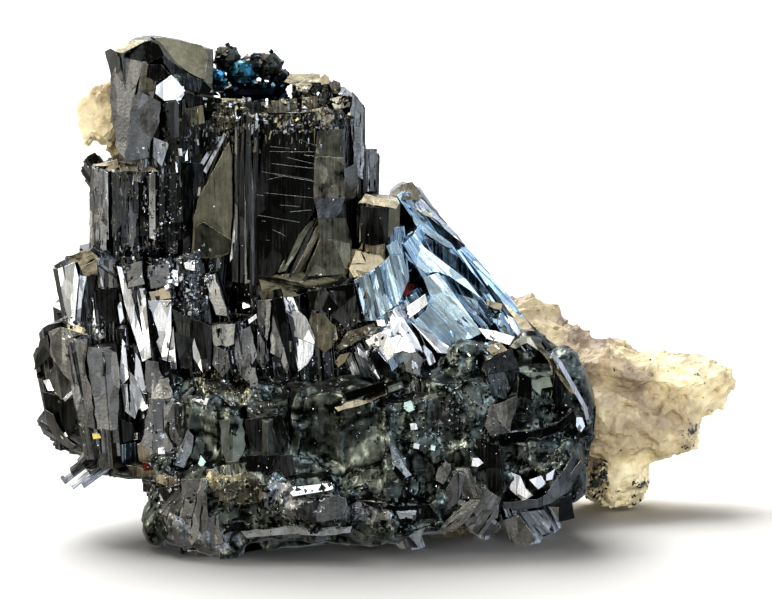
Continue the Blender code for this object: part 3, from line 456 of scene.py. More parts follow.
# name, foot, tip, width across, depth, roll, slanting end faces as (compass, slope, drop)
crystalRows = {
    "column": (
        ("main", (-5.5, 1.7, 11.9), (-5.5, 1.7, 23.0), 7.3, 6.3, 0, (front, 42, 0.9)),
        ("ridge", (-7.6, -1.2, 12.7), (-7.4, -1.2, 23.1), 1.0, 1.6, 20),
        ("ridge_left", (-8.1, -0.6, 12.6), (-8.0, -0.4, 22.1), 1.2, 2.0, 0),
        ("lens", (-9.4, -0.6, 13.4), (-8.7, -0.2, 21.5), 2.5, 2.6, -8, (left, 66, 4.6)),
        ("recess", (-10.5, 0.6, 13.2), (-10.4, 0.8, 22.8), 2.5, 4.0, 0),
        ("plate_a", (-10.1, -0.5, 18.7), (-9.0, -0.3, 21.8), 0.5, 1.4, 0),
        ("plate_b", (-9.6, -0.2, 18.6), (-8.6, -0.1, 21.9), 0.4, 1.2, 0),
        ("right_rear", (-2.0, 2.4, 15.9), (-2.0, 2.4, 23.7), 1.7, 4.0, 10, (right, 50, 0.8)),
        ("far_right", (-1.0, 3.6, 16.1), (-0.9, 3.6, 20.3), 1.1, 2.4, 15, (right, 25, 0.2)),
        ("flare_a", (-5.7, -1.5, 13.2), (-3.8, -1.2, 17.5), 0.7, 1.6, 10),
        ("flare_b", (-4.7, -1.6, 13.2), (-3.5, -1.3, 16.6), 0.7, 1.6, 0),
        ("flare_base", (-3.1, -0.7, 12.6), (-2.9, -0.2, 16.1), 1.9, 3.0, 20),
        ("foot_ledge", (-4.8, -0.8, 10.7), (-4.7, -0.5, 13.5), 5.7, 4.2, 0, (front, 30, 0.4)),
        ("shelf", (-8.2, 0.8, 20.6), (-8.2, 0.8, 23.4), 5.3, 3.2, 0, (front, 30, 0.5)),
        ("top_rear", (-3.8, 3.4, 20.3), (-3.8, 3.6, 24.2), 2.9, 3.2, 0, (right, 30, 0.5)),
    ),
    "crown": (
        ("left", (-13.4, 0.7, 19.3), (-14.1, 0.9, 26.8), 2.3, 3.4, -10, (left, 20, 0.75)),
        ("front", (-13.5, -0.8, 19.3), (-12.5, -0.5, 25.7), 2.0, 2.4, 6, (right, 45, 1.6), (front, 30, 0.3)),
        ("right", (-11.3, 1.4, 17.5), (-11.5, 1.8, 26.8), 4.6, 4.8, 0, (right, 14, 0.9), (318, 46, 2.6)),
        ("gem", (-11.5, -0.2, 23.8), (-11.7, -2.1, 24.4), 1.5, 1.5, 30,
         (90, 40, 0.5), (210, 40, 0.6), (330, 40, 0.6)),
        ("chip", (-12.2, -1.3, 19.6), (-12.3, -1.3, 21.4), 1.0, 1.0, 0),
        ("base", (-11.3, -0.3, 17.2), (-11.3, -0.5, 23.6), 3.2, 3.0, 4, (front, 50, 0.8)),
    ),
    "left_columns": (
        ("a", (-15.5, -0.2, 14.3), (-15.4, -0.2, 20.1), 1.3, 2.4, -25),
        ("b", (-14.6, -0.9, 14.3), (-14.5, -0.9, 19.9), 1.2, 1.8, 0),
        ("c", (-13.7, -0.7, 14.2), (-13.7, -0.7, 19.9), 1.0, 1.8, 12),
        ("d", (-12.8, -1.0, 14.2), (-12.7, -1.0, 20.0), 1.2, 1.8, -5),
        ("e", (-11.8, -0.8, 14.1), (-11.7, -0.8, 20.3), 1.2, 1.8, 10),
        ("rear", (-13.6, 1.5, 13.2), (-13.5, 1.5, 20.1), 5.4, 4.2, 0),
        ("rear_knob", (-15.0, 3.0, 17.6), (-16.6, 3.6, 19.7), 1.6, 2.4, 0, (left, 30, 0.4)),
    ),
    "right_blocks": (
        ("block", (-0.4, -0.8, 14.7), (-0.3, -0.8, 18.3), 2.3, 2.3, 14, (front, 18, 0.4)),
        ("tan_end", (-1.1, -1.8, 12.8), (-1.0, -1.2, 15.5), 2.3, 2.6, 0, (front, 48, 1.7)),
        ("striped", (0.1, -2.0, 11.4), (-0.7, -2.0, 14.9), 2.5, 2.2, -12, (left, 25, 0.9)),
        ("striped_rear", (0.9, -0.9, 11.4), (0.4, -0.6, 16.7), 1.3, 2.4, -10),
        ("blue_end", (3.4, 0.2, 12.4), (1.2, -0.2, 16.3), 1.6, 2.2, -20),
    ),
    "leaning": (
        ("spine", (9.8, 2.6, 4.7), (0.6, 2.6, 18.2), 2.6, 3.8, 0, (right, 50, 0.9), (left, 40, 0.6)),
        ("blade_a", (8.0, 1.0, 6.4), (1.9, 0.6, 15.5), 1.8, 2.6, -10),
        ("blade_b", (6.1, -0.6, 8.1), (2.7, -0.8, 14.1), 1.6, 2.0, -5),
        ("blade_c", (4.6, -1.6, 8.0), (1.9, -1.6, 12.9), 1.8, 1.8, -8),
        ("bright_step", (2.6, -1.2, 10.8), (1.3, -1.4, 13.3), 1.3, 1.8, 0),
        ("web", (9.0, 2.2, 3.6), (1.7, 1.8, 14.6), 5.0, 3.0, 0),
        ("low_blade", (10.2, 0.8, 4.1), (5.8, 0.8, 11.4), 1.5, 2.4, 5),
        ("red_gem", (1.9, -0.6, 12.1), (1.3, -1.0, 13.6), 0.8, 1.0, 0),
    ),
    "bright": (
        ("wide", (1.2, -3.0, 7.8), (-0.5, -3.2, 11.6), 2.3, 2.2, -4),
        ("side", (2.5, -2.6, 7.9), (0.5, -2.6, 12.7), 1.4, 2.2, -10),
        ("dark_a", (0.1, -3.2, 7.5), (-1.7, -3.3, 10.7), 0.8, 1.6, 10),
        ("dark_b", (0.7, -3.6, 7.5), (-1.1, -3.7, 10.4), 0.7, 1.4, 0),
    ),
    "middle": (
        ("black_slab", (-2.2, -1.6, 9.9), (-3.1, -1.6, 13.9), 3.3, 3.4, 4),
        ("blue_blade", (-4.3, -3.0, 8.2), (-5.4, -2.6, 13.4), 1.4, 2.2, -8, (right, 50, 1.8)),
        ("grey_a", (-5.3, -3.2, 8.3), (-6.0, -3.0, 12.9), 0.8, 1.6, 0),
        ("grey_b", (-6.4, -3.0, 8.2), (-6.8, -2.8, 13.2), 1.3, 2.0, 5),
        ("grey_c", (-7.4, -3.2, 7.9), (-8.0, -3.0, 11.9), 1.2, 1.8, -6),
        ("grey_block", (-8.8, -3.6, 8.2), (-9.0, -3.4, 11.9), 1.6, 2.4, 3),
        ("olive", (-3.0, -2.8, 8.2), (-3.4, -2.4, 12.6), 1.9, 2.2, -12),
        ("sliver", (-2.3, -2.8, 8.2), (-2.7, -2.6, 11.8), 0.7, 1.6, 0),
        ("core", (-5.6, -0.4, 6.4), (-5.5, -0.2, 13.0), 11.0, 4.0, 0),
    ),
    "fan": (
        ("white_a", (-12.3, -3.2, 7.7), (-13.9, -2.8, 14.9), 1.6, 2.2, -6),
        ("white_b", (-11.7, -3.4, 7.8), (-12.5, -3.2, 13.4), 1.5, 2.2, 6),
        ("white_c", (-11.4, -3.7, 8.0), (-11.7, -3.7, 12.1), 0.5, 1.4, 0),
        ("dark", (-10.2, -3.0, 7.8), (-10.7, -2.8, 13.1), 2.2, 2.4, 0),
        ("white_d", (-10.0, -3.8, 8.2), (-10.4, -3.8, 11.3), 0.4, 1.2, 0),
        ("cap_block", (-12.0, -2.8, 12.5), (-12.2, -2.6, 15.3), 1.4, 1.8, 0),
        ("finger", (-8.6, -2.2, 11.3), (-9.5, -2.0, 14.4), 0.9, 1.6, 0),
        ("steps", (-10.2, -1.8, 11.0), (-11.0, -1.6, 15.4), 2.1, 2.4, 0),
        ("top_left", (-13.4, -2.0, 10.9), (-14.1, -1.8, 15.3), 1.7, 2.4, 0),
        ("core", (-12.2, -0.2, 5.2), (-13.0, -0.2, 14.6), 6.8, 4.2, 0),
    ),
    "left_fan": (
        ("silver", (-16.6, -2.8, 10.2), (-17.4, -2.4, 15.3), 1.6, 2.2, -8, (left, 20, 0.3)),
        ("strip", (-16.3, -3.1, 10.4), (-16.5, -2.9, 14.8), 0.5, 1.4, 0),
        ("hollow", (-15.3, -1.6, 9.9), (-15.3, -1.4, 13.8), 2.0, 2.2, 0),
        ("strip_low", (-15.7, -2.7, 9.8), (-16.0, -2.5, 13.5), 0.5, 1.2, 0),
        ("matt_a", (-15.7, -4.2, 4.6), (-16.9, -3.8, 11.2), 1.6, 2.4, -6),
        ("matt_b", (-14.9, -4.4, 4.1), (-15.4, -4.0, 10.7), 1.8, 2.6, 4),
        ("rib_a", (-13.8, -3.8, 4.8), (-14.4, -3.6, 11.6), 0.8, 1.6, 0),
        ("rib_b", (-12.8, -3.9, 5.1), (-13.7, -3.6, 10.7), 0.9, 1.6, 0),
        ("flank_a", (-17.2, -2.2, 4.8), (-18.1, -2.0, 11.7), 1.7, 3.0, -20, (left, 30, 0.5)),
        ("flank_b", (-17.7, -1.2, 5.1), (-18.7, -1.0, 10.3), 1.4, 3.0, -15, (left, 40, 0.5)),
        ("flank_low", (-15.9, -2.6, 5.1), (-18.5, -1.8, 6.5), 2.2, 3.2, 0, (left, 30, 0.5)),
        ("rim", (-14.7, -1.0, 14.2), (-16.3, -1.0, 15.4), 1.6, 3.0, 0),
        ("knob_a", (-14.8, -3.0, 5.2), (-17.2, -3.6, 3.5), 0.7, 1.1, 0),
        ("knob_b", (-14.5, -3.4, 4.8), (-16.3, -3.9, 3.7), 0.6, 1.0, 0),
        ("knob_c", (-15.3, -3.9, 5.7), (-16.7, -4.2, 4.2), 0.5, 1.0, 0),
    ),
    "front": (
        ("grey_lens", (-11.3, -5.9, 2.9), (-10.8, -5.6, 6.5), 0.9, 1.4, -15),
        ("black_cube", (-6.3, -7.0, 3.3), (-6.4, -6.6, 8.2), 2.6, 3.0, 0, (front, 35, 1.0)),
        ("rim_strip", (-3.0, -6.9, 7.7), (0.8, -5.4, 8.8), 0.6, 1.4, 0),
    ),
    "rear": (
        ("a", (-8.6, 4.4, 11.0), (-8.5, 4.7, 22.2), 3.4, 3.2, 10, (back, 30, 0.8)),
        ("b", (-5.4, 5.2, 10.0), (-5.2, 5.4, 21.0), 3.2, 2.8, -8, (back, 24, 0.6)),
        ("c", (-2.6, 4.8, 10.0), (-2.4, 4.9, 18.8), 2.6, 3.0, 14, (back, 35, 0.8)),
        ("d", (-11.4, 4.0, 12.0), (-11.6, 4.2, 24.4), 3.6, 3.2, 4, (back, 40, 1.2)),
        ("e", (-0.4, 3.4, 9.0), (-0.2, 3.4, 15.6), 3.4, 3.4, 0, (back, 30, 0.7)),
        ("f", (-15.6, 1.2, 8.0), (-15.6, 1.0, 15.2), 2.8, 3.8, 12),
        ("g", (-16.8, 0.4, 6.0), (-17.3, 0.2, 12.4), 2.2, 3.0, -10),
        ("fill", (-6.0, 2.2, 6.0), (-6.0, 2.2, 20.6), 11.5, 4.6, 0),
        ("fill_left", (-13.0, 2.0, 6.0), (-13.0, 1.6, 18.6), 7.0, 4.4, 0),
        ("fill_low", (-5.0, 0.5, 1.6), (-5.0, 0.5, 10.0), 17.0, 8.0, 0),
        ("fill_right", (1.6, 0.6, 4.0), (1.2, 0.6, 13.6), 6.5, 4.4, 0),
    ),
    "bundle": (
        ("thin_a", (-14.6, -2.9, 5.5), (-17.7, -3.5, 3.05), 0.55, 0.8, 20, (back, 30, 0.2)),
        ("thin_b", (-14.2, -3.1, 5.1), (-17.2, -3.7, 2.75), 0.5, 0.8, 0, (front, 30, 0.2)),
        ("thin_c", (-13.9, -2.9, 4.7), (-16.6, -3.6, 2.8), 0.45, 0.8, 30),
    ),
    "under": (
        ("prism_a", (6.9, -4.6, 2.2), (7.8, -4.8, -0.3), 1.8, 2.0, 10),
        ("prism_b", (8.1, -3.6, 2.1), (9.0, -3.6, 0.3), 1.5, 2.2, -10),
        ("stub", (5.3, -4.6, 2.2), (5.4, -4.8, 0.2), 1.9, 2.4, 0, (right, 30, 0.4), (left, 30, 0.4)),
        ("tooth", (0.9, -6.0, 1.4), (1.5, -6.0, -0.3), 1.6, 2.2, 0),
        ("stack_a", (9.5, -2.8, 3.5), (11.0, -2.8, 3.7), 1.1, 1.4, 0),
        ("stack_b", (9.1, -2.8, 2.6), (10.6, -2.8, 2.4), 1.1, 1.4, 0),
    ),
}


# name, centre, size, lean, squareness
wornBlocks = (
    ("green_left", (-9.8, -5.7, 6.0), (2.9, 3.4, 5.8), 2, 0.8),
    ("green_step", (-8.1, -6.4, 5.7), (2.1, 3.0, 5.0), -4, 0.8),
    ("green_right", (-3.8, -6.0, 6.1), (3.9, 4.0, 5.9), 3, 0.75),
    ("slab_left", (-8.6, -6.6, 2.9), (7.4, 6.2, 5.0), -3, 0.5),
    ("slab_middle", (-4.4, -6.8, 2.6), (7.2, 6.4, 3.8), -2, 0.6),
    ("slab_right", (0.4, -6.2, 2.0), (6.4, 5.6, 3.2), -4, 0.6),
    ("slab_upper", (-4.6, -5.6, 4.4), (8.6, 5.0, 3.4), -2, 0.6),
    ("sole", (-4.6, -5.0, 0.9), (13.4, 5.0, 2.0), -3, 0.7),
    ("left_toe", (-11.3, -6.0, 2.7), (3.8, 5.0, 5.6), 6, 0.5),
    ("heel", (-9.8, -7.6, 1.1), (4.8, 4.2, 3.4), 12, 0.3),
    ("left_core", (-13.6, -1.6, 5.6), (5.4, 5.0, 5.4), 0, 0.6),
    ("left_shoulder", (-12.0, -4.6, 6.0), (3.2, 4.2, 7.0), -4, 0.5),
    ("olive_crest", (-8.3, -4.8, 7.8), (5.6, 4.4, 2.8), 4, 0.4),
    ("dark_green", (-2.2, -5.6, 6.3), (7.0, 5.0, 5.8), -8, 0.5),
    ("smooth_right", (-0.6, -7.0, 3.9), (4.8, 4.6, 3.6), -6, 0.4),
    ("granular", (3.3, -4.8, 7.0), (7.0, 5.2, 4.8), -12, 0.6),
    ("granular_low", (3.4, -5.2, 3.9), (6.6, 5.2, 5.0), -12, 0.5),
    ("corner", (7.9, -3.2, 7.1), (7.0, 5.4, 6.2), -14, 0.5),
    ("corner_low", (7.6, -4.0, 3.9), (7.2, 5.4, 4.8), -12, 0.4),
    ("corner_tip", (9.5, -2.6, 5.2), (3.4, 4.4, 5.8), 8, 0.3),
    ("dome_right", (4.6, -3.4, 9.6), (3.6, 3.8, 3.0), 0, 0.1),
    ("dome_left", (1.0, -3.8, 9.4), (2.6, 3.0, 2.6), 0, 0.1),
    ("dome_end", (7.8, -2.8, 9.5), (2.8, 3.4, 3.4), 20, 0.3),
    ("lower_left", (-16.5, -1.6, 7.3), (4.6, 4.6, 6.2), -12, 0.4),
    ("rear_low", (2.0, -0.6, 5.0), (11.0, 6.4, 6.6), 0, 0.5),
    ("under_left", (-9.0, -1.0, 2.6), (7.0, 5.6, 3.4), 6, 0.4),
    ("under_middle", (-2.8, -0.4, 2.3), (7.4, 6.2, 3.2), -4, 0.4),
)


# ribs for each millimetre of side, how proud they stand, steps for each square millimetre of the end,
# their height, and the finish and tone of the group
growthHabits = {
    "column": dict(ribs=3.0, rib=0.07, steps=0.5, step=0.10, finish="grown", tone=0.10),
    "crown": dict(ribs=1.2, rib=0.04, steps=0.0, step=0.00, finish="etched", tone=0.30),
    "left_columns": dict(ribs=4.0, rib=0.07, steps=1.2, step=0.12, finish="grown", tone=0.18),
    "right_blocks": dict(ribs=2.0, rib=0.05, steps=0.2, step=0.06, finish="stained", tone=0.22),
    "leaning": dict(ribs=2.4, rib=0.08, steps=0.4, step=0.10, finish="tarnished", tone=0.40),
    "bright": dict(ribs=3.0, rib=0.06, steps=0.5, step=0.08, finish="steel", tone=0.45),
    "middle": dict(ribs=2.6, rib=0.06, steps=0.5, step=0.08, finish="grown", tone=0.16),
    "fan": dict(ribs=2.6, rib=0.06, steps=0.7, step=0.08, finish="grown", tone=0.20),
    "left_fan": dict(ribs=2.4, rib=0.06, steps=0.6, step=0.08, finish="etched", tone=0.25),
    "front": dict(ribs=0.4, rib=0.04, steps=0.0, step=0.08, finish="mossy", tone=0.20),
    "rear": dict(ribs=2.0, rib=0.08, steps=0.3, step=0.10, finish="grown", tone=0.22),
    "bundle": dict(ribs=5.0, rib=0.05, steps=0.0, step=0.05, finish="cleavage", tone=0.7),
    "under": dict(ribs=3.0, rib=0.06, steps=0.8, step=0.06, finish="steel", tone=0.25),
}
ownLooks = {       # crystals that differ from the rest of their group
    "leaning_web": ("tarnished", 0.22),
    "leaning_spine": ("tarnished", 0.55),
    "leaning_blade_a": ("tarnished", 0.70),
    "leaning_blade_b": ("tarnished", 0.60),
    "leaning_red_gem": ("ruby", 0.30),
    "right_blocks_striped": ("tarnished", 0.45),
    "right_blocks_striped_rear": ("tarnished", 0.55),
    "right_blocks_blue_end": ("tarnished", 0.70),
    "crown_right": ("olive", 0.22),
    "crown_gem": ("cleavage", 0.60),
    "crown_base": ("grown", 0.10),
}


def crystalRowsWithLooks():
    for group, rows in crystalRows.items():
        habit = growthHabits[group]
        for row in rows:
            name = f"{group}_{row[0]}"
            finish, tone = ownLooks.get(name, (habit["finish"], habit["tone"]))
            yield (*row[1:6], row[6:], finish, tone), habit


# the worn mass of crystals along the front
wornMass = dict(voxel=0.20, chunk=2.4, chunkHeight=0.40, chunkTilt=0.34, splinter=0.9, splinterHeight=0.06,
                splinterTilt=0.16, tone=0.12, chipTone=0.12, round=0.25, square=0.6, twist=0.3, seed=11)


def cellsOf(spots, spacing, seed):
    # a random seed point for each spacing, and the nearest of them for every spot
    rng = np.random.default_rng(seed)
    low, high = spots.min(axis=0) - spacing, spots.max(axis=0) + spacing
    count = int(np.prod((high - low) / spacing))
    seeds = rng.uniform(low, high, (count, 3))
    tree = KDTree(count)
    for index, point in enumerate(seeds):
        tree.insert(point, index)
    tree.balance()
    nearest = np.array([tree.find(spot)[1] for spot in spots])
    tilt = rng.normal(size=(count, 3))
    return seeds, nearest, tilt / np.linalg.norm(tilt, axis=1)[:, None], rng.uniform(-1, 1, count)


def breakUp(data, spacing, height, tilt, seed):
    # moves a smooth surface into flat chips that meet at small steps
    spots, ways = readRows(data.vertices, "co"), readRows(data.vertices, "normal")
    seeds, nearest, leans, lifts = cellsOf(spots, spacing, seed)
    slope = np.einsum("ni,ni->n", spots - seeds[nearest], leans[nearest])
    move = np.clip(slope * tilt + lifts[nearest] * height * 0.5 - height * 0.5, -2 * height, 0.1 * height)
    data.vertices.foreach_set("co", (spots + ways * move[:, None]).ravel())
    data.update()


def applyTo(thing, kind, **settings):
    step = thing.modifiers.new(kind.lower(), kind)
    for key, value in settings.items():
        setattr(step, key, value)
    data = bpy.data.meshes.new_from_object(thing.evaluated_get(bpy.context.evaluated_depsgraph_get()))
    thing.modifiers.clear()
    thing.data = data


def growWornMass():
    for index, (name, centre, size, lean, square) in enumerate(wornBlocks):
        rng = random.Random(index)
        mesh = bmesh.new()
        bmesh.ops.create_icosphere(mesh, subdivisions=3, radius=1)
        for vert in mesh.verts:     # between a ball and a box
            widest = max(abs(value) for value in vert.co)
            vert.co = vert.co.lerp(vert.co / widest, wornMass["round"] + wornMass["square"] * square)
            vert.co = Vector(value * half / 2 for value, half in zip(vert.co, size))
        place = Matrix.Translation(centre) @ Matrix.Rotation(math.radians(lean), 4, "Y")
        place = place @ Matrix.Rotation(rng.uniform(-wornMass["twist"], wornMass["twist"]), 4, "Z")
        mesh.transform(place)
        data = bpy.data.meshes.new(name)
        mesh.to_mesh(data)
        mesh.free()
        data.attributes.new("crystal", "INT", "FACE")
        stock.objects.link(bpy.data.objects.new(name, data))
    mass = joinStock("wornMass")
    applyTo(mass, "REMESH", mode="VOXEL", voxel_size=wornMass["voxel"])
    breakUp(mass.data, wornMass["chunk"], wornMass["chunkHeight"], wornMass["chunkTilt"], wornMass["seed"])
    breakUp(mass.data, wornMass["splinter"], wornMass["splinterHeight"], wornMass["splinterTilt"],
            wornMass["seed"] + 1)
    mark = mass.data.attributes.new("crystal", "INT", "FACE")
    mark.data.foreach_set("value", [len(made)] * len(mass.data.polygons))
    made.append((Matrix.Identity(4), finishOrder.index("mossy"), wornMass["tone"]))
    restock(mass)
    print("worn mass:", len(mass.data.polygons), "faces")
    return len(made) - 1


# facets that are laid on the crystals
def clipHalf(outline, way, limit, keepBelow):
    # the part of a flat outline on one side of a line
    kept = []
    for here, there in zip(outline, outline[1:] + outline[:1]):
        a, b = here.dot(way) - limit, there.dot(way) - limit
        if keepBelow:
            a, b = -a, -b
        if a >= 0:
            kept.append(here)
        if (a > 0 > b) or (a < 0 < b):
            kept.append(here.lerp(there, a / (a - b)))
    return kept


def area(outline):
    return sum(a.x * b.y - b.x * a.y for a, b in zip(outline, outline[1:] + outline[:1])) / 2


def inStrips(outline, strips, turn, rng):
    # cuts an outline into strips that lean from upright by turn
    across = Vector((math.cos(turn), math.sin(turn)))
    reaches = [point.dot(across) for point in outline]
    low, high = min(reaches), max(reaches)
    cuts = [low + (high - low) * (index + rng.uniform(-0.3, 0.3)) / strips for index in range(1, strips)]
    for start, end in zip([low] + cuts, cuts + [high]):
        piece = outline
        if strips > 1:
            piece = clipHalf(clipHalf(outline, across, start, False), across, end, True)
        if len(piece) > 2:
            yield piece


def inShards(outline, largest, rng):
    # cuts an outline again and again across its longer way
    if abs(area(outline)) < largest * rng.uniform(0.5, 1.5):
        return [outline]
    heart = sum(outline, Vector((0, 0))) / len(outline)
    far = max(outline, key=lambda point: (point - heart).length) - heart
    way = Matrix.Rotation(rng.uniform(-0.6, 0.6), 2) @ far.normalized()
    limit = heart.dot(way) + rng.uniform(-0.2, 0.2) * far.length
    halves = [clipHalf(outline, way, limit, below) for below in (False, True)]
    return [shard for half in halves if len(half) > 2 for shard in inShards(half, largest, rng)]


def isPainted(name, finish):
    return name in paintedPatches or (finish == "mossy" and name not in whole)


def roughen(outline, reach, rng):
    # broken edges run ragged: a point for each step along them, moved in or out
    rough = []
    for start, end in zip(outline, outline[1:] + outline[:1]):
        along = end - start
        out = Vector((along.y, -along.x)).normalized()
        parts = max(1, round(along.length / raggedStep))
        rough += [start + along * part / parts + out * rng.uniform(-reach, reach) * (part > 0)
                  for part in range(parts)]
    return rough


def corners(outline):
    # the numbers of a row as points in millimetres
    x, z = outline[:2]
    steps = [(0, 0), *zip(outline[2::2], outline[3::2])]
    return [((x + across) / 100, (z + up) / 100) for across, up in steps]


def layFacet(row, surface, rng):
    name, finish, tone, azimuth, elevation, strips, outline = row
    outline = [Vector(corner) for corner in corners(outline)]
    azimuth, elevation = math.radians(azimuth), math.radians(elevation)
    normal = Vector((math.sin(azimuth) * math.cos(elevation), -math.cos(azimuth) * math.cos(elevation),
                     math.sin(elevation)))
    middlePoint = sum(outline, Vector((0, 0))) / len(outline)
    probes = outline + [middlePoint] + [middlePoint.lerp(point, 0.5) for point in outline]
    hits = []
    for point in probes:
        hit = surface.ray_cast(eye, eyeWay(*point))[0]
        if hit is not None and hit.y < facetStyle["deepest"]:
            hits.append(hit)
    if not hits:
        print("no surface under", name)
        return
    reaches = sorted(hit.dot(normal) for hit in hits)
    worn = finish == "mossy"
    lift = facetStyle["lift"] * (0.5 if worn else 1)
    reach = reaches[int(facetStyle["share"] * (len(reaches) - 1))] + lift + raised.get(name, 0)
    thick = max(reach - reaches[0] + facetStyle["sunk"], facetStyle["thinnest"])
    thick = min(thick, facetStyle["thickest"])
    turn = math.radians(stripRuns.get(name, 0))
    run = Vector((-math.sin(turn), 0, math.cos(turn)))
    spread = facetStyle["stripTone"] if strips > 1 else facetStyle["shardTone"]
    shards = []
    for piece in inStrips(outline, strips, turn, rng):
        shards += inShards(piece, math.inf if name in whole else shardAreas[finish], rng)
    for piece in shards:
        loose = len(shards) > 1
        lean = [math.radians(rng.uniform(-1, 1)) * facetStyle["tilt"] * loose * (1.5 if worn else 1)
                for _ in range(2)]
        ownNormal = Matrix.Rotation(lean[0], 3, "Z") @ Matrix.Rotation(lean[1], 3, "X") @ normal
        heart = sum(piece, Vector((0, 0))) / len(piece)
        if loose and not worn:      # a dark crack runs between two shards
            piece = [point - (point - heart).normalized() * facetStyle["crack"] for point in piece]
        if finish in raggedReach:
            piece = roughen(piece, raggedReach[finish], rng)
        centreWay = eyeWay(*heart)
        offset = reach - rng.uniform(0, facetStyle["step"]) * loose
        anchor = eye + centreWay * ((offset - eye.dot(normal)) / centreWay.dot(normal))
        face = []
        for point in piece:
            way = eyeWay(*point)
            face.append(eye + way * ((anchor - eye).dot(ownNormal) / way.dot(ownNormal)))
        backFace = [spot + centreWay * thick for spot in face]
        count = len(face)
        ring = list(range(count)) if area(piece) > 0 else list(reversed(range(count)))
        faces = [ring, [i + count for i in reversed(ring)]]
        faces += [(ring[(i + 1) % count], ring[i], ring[i] + count, ring[(i + 1) % count] + count)
                  for i in range(count)]
        own = axisFrame(anchor, anchor + run, 0)
        local = own.inverted()
        stockSolid([local @ spot for spot in face + backFace], faces, own, finish,
                   tone + rng.uniform(-spread, spread) * loose)


# patches that only give the worn mass their finish and tone, as the mossy ones do
paintedPatches = {"toe_low", "slab_b", "slab_f", "slab_g", "slab_h", "toe_rough", "grey_b", "crest_a",
                  "crest_b", "slab_a", "grain_a", "grain_d"}
raggedStep = 0.42    # from one point of a broken edge to the next, and how far each may move
raggedReach = dict(mossy=0.10, etched=0.07, stained=0.06, olive=0.03, grown=0.02)
# millimetres and degrees, and the share of a facet's probes that it lies over
facetStyle = dict(lift=0.14, sunk=0.5, thinnest=0.8, thickest=2.6, deepest=6.0, share=0.9, tilt=6, step=0.07,
                  stripTone=0.14, shardTone=0.06, crack=0.012)
# square millimetres of the largest shard
shardAreas = dict(grown=3.0, steel=3.0, cleavage=3.0, tarnished=4.0, etched=1.8, stained=1.4, olive=3.0,
                  mossy=2.2, ruby=0.3, mint=1.0, gold=1.0)
# faces that aren't broken, and how much further some of them stand out
whole = {"main_face", "lens", "lens_low", "block_front", "crown_hollow", "crown_shoulder", "main_side",
         "main_upper", "main_gold", "main_blue", "crown_bevel", "crown_left", "crown_middle", "front_face",
         "slab_black", "pale_b", "pale_c", "matt_a", "matt_b", "flank", "silver_face", "finger",
         "white_left", "white_right"}
raised = dict(main_face=0.3, main_upper=1.1, main_gold=1.1, main_blue=1.1, lens_low=0.12, block_front=0.25,
              block_top=0.1, main_side=0.1)
# degrees that the strips of a facet lean to the left of upright
stripRuns = dict(striped_low=14, striped_high=14, striped_tall=8, blue_end=44, spine_edge=45, spine_bar=50,
                 spine_low=45, spine_foot=45, low_blue=44, next_blade=44, blade_low=44, white_tall=30,
                 blade_d=-52, blade_e=-30, blade_f=20, shell_low=-35, side_blades=-38, slab_c=-10,
                 shell_a=20, shell_b=24, top_gold=60, fan_top=-60, foot_ledge=75, col_grey=6, hang_side=40,
                 hang_round=-32, white_top=20, plate_right=80, bar_long=-35, bar_second=-35)

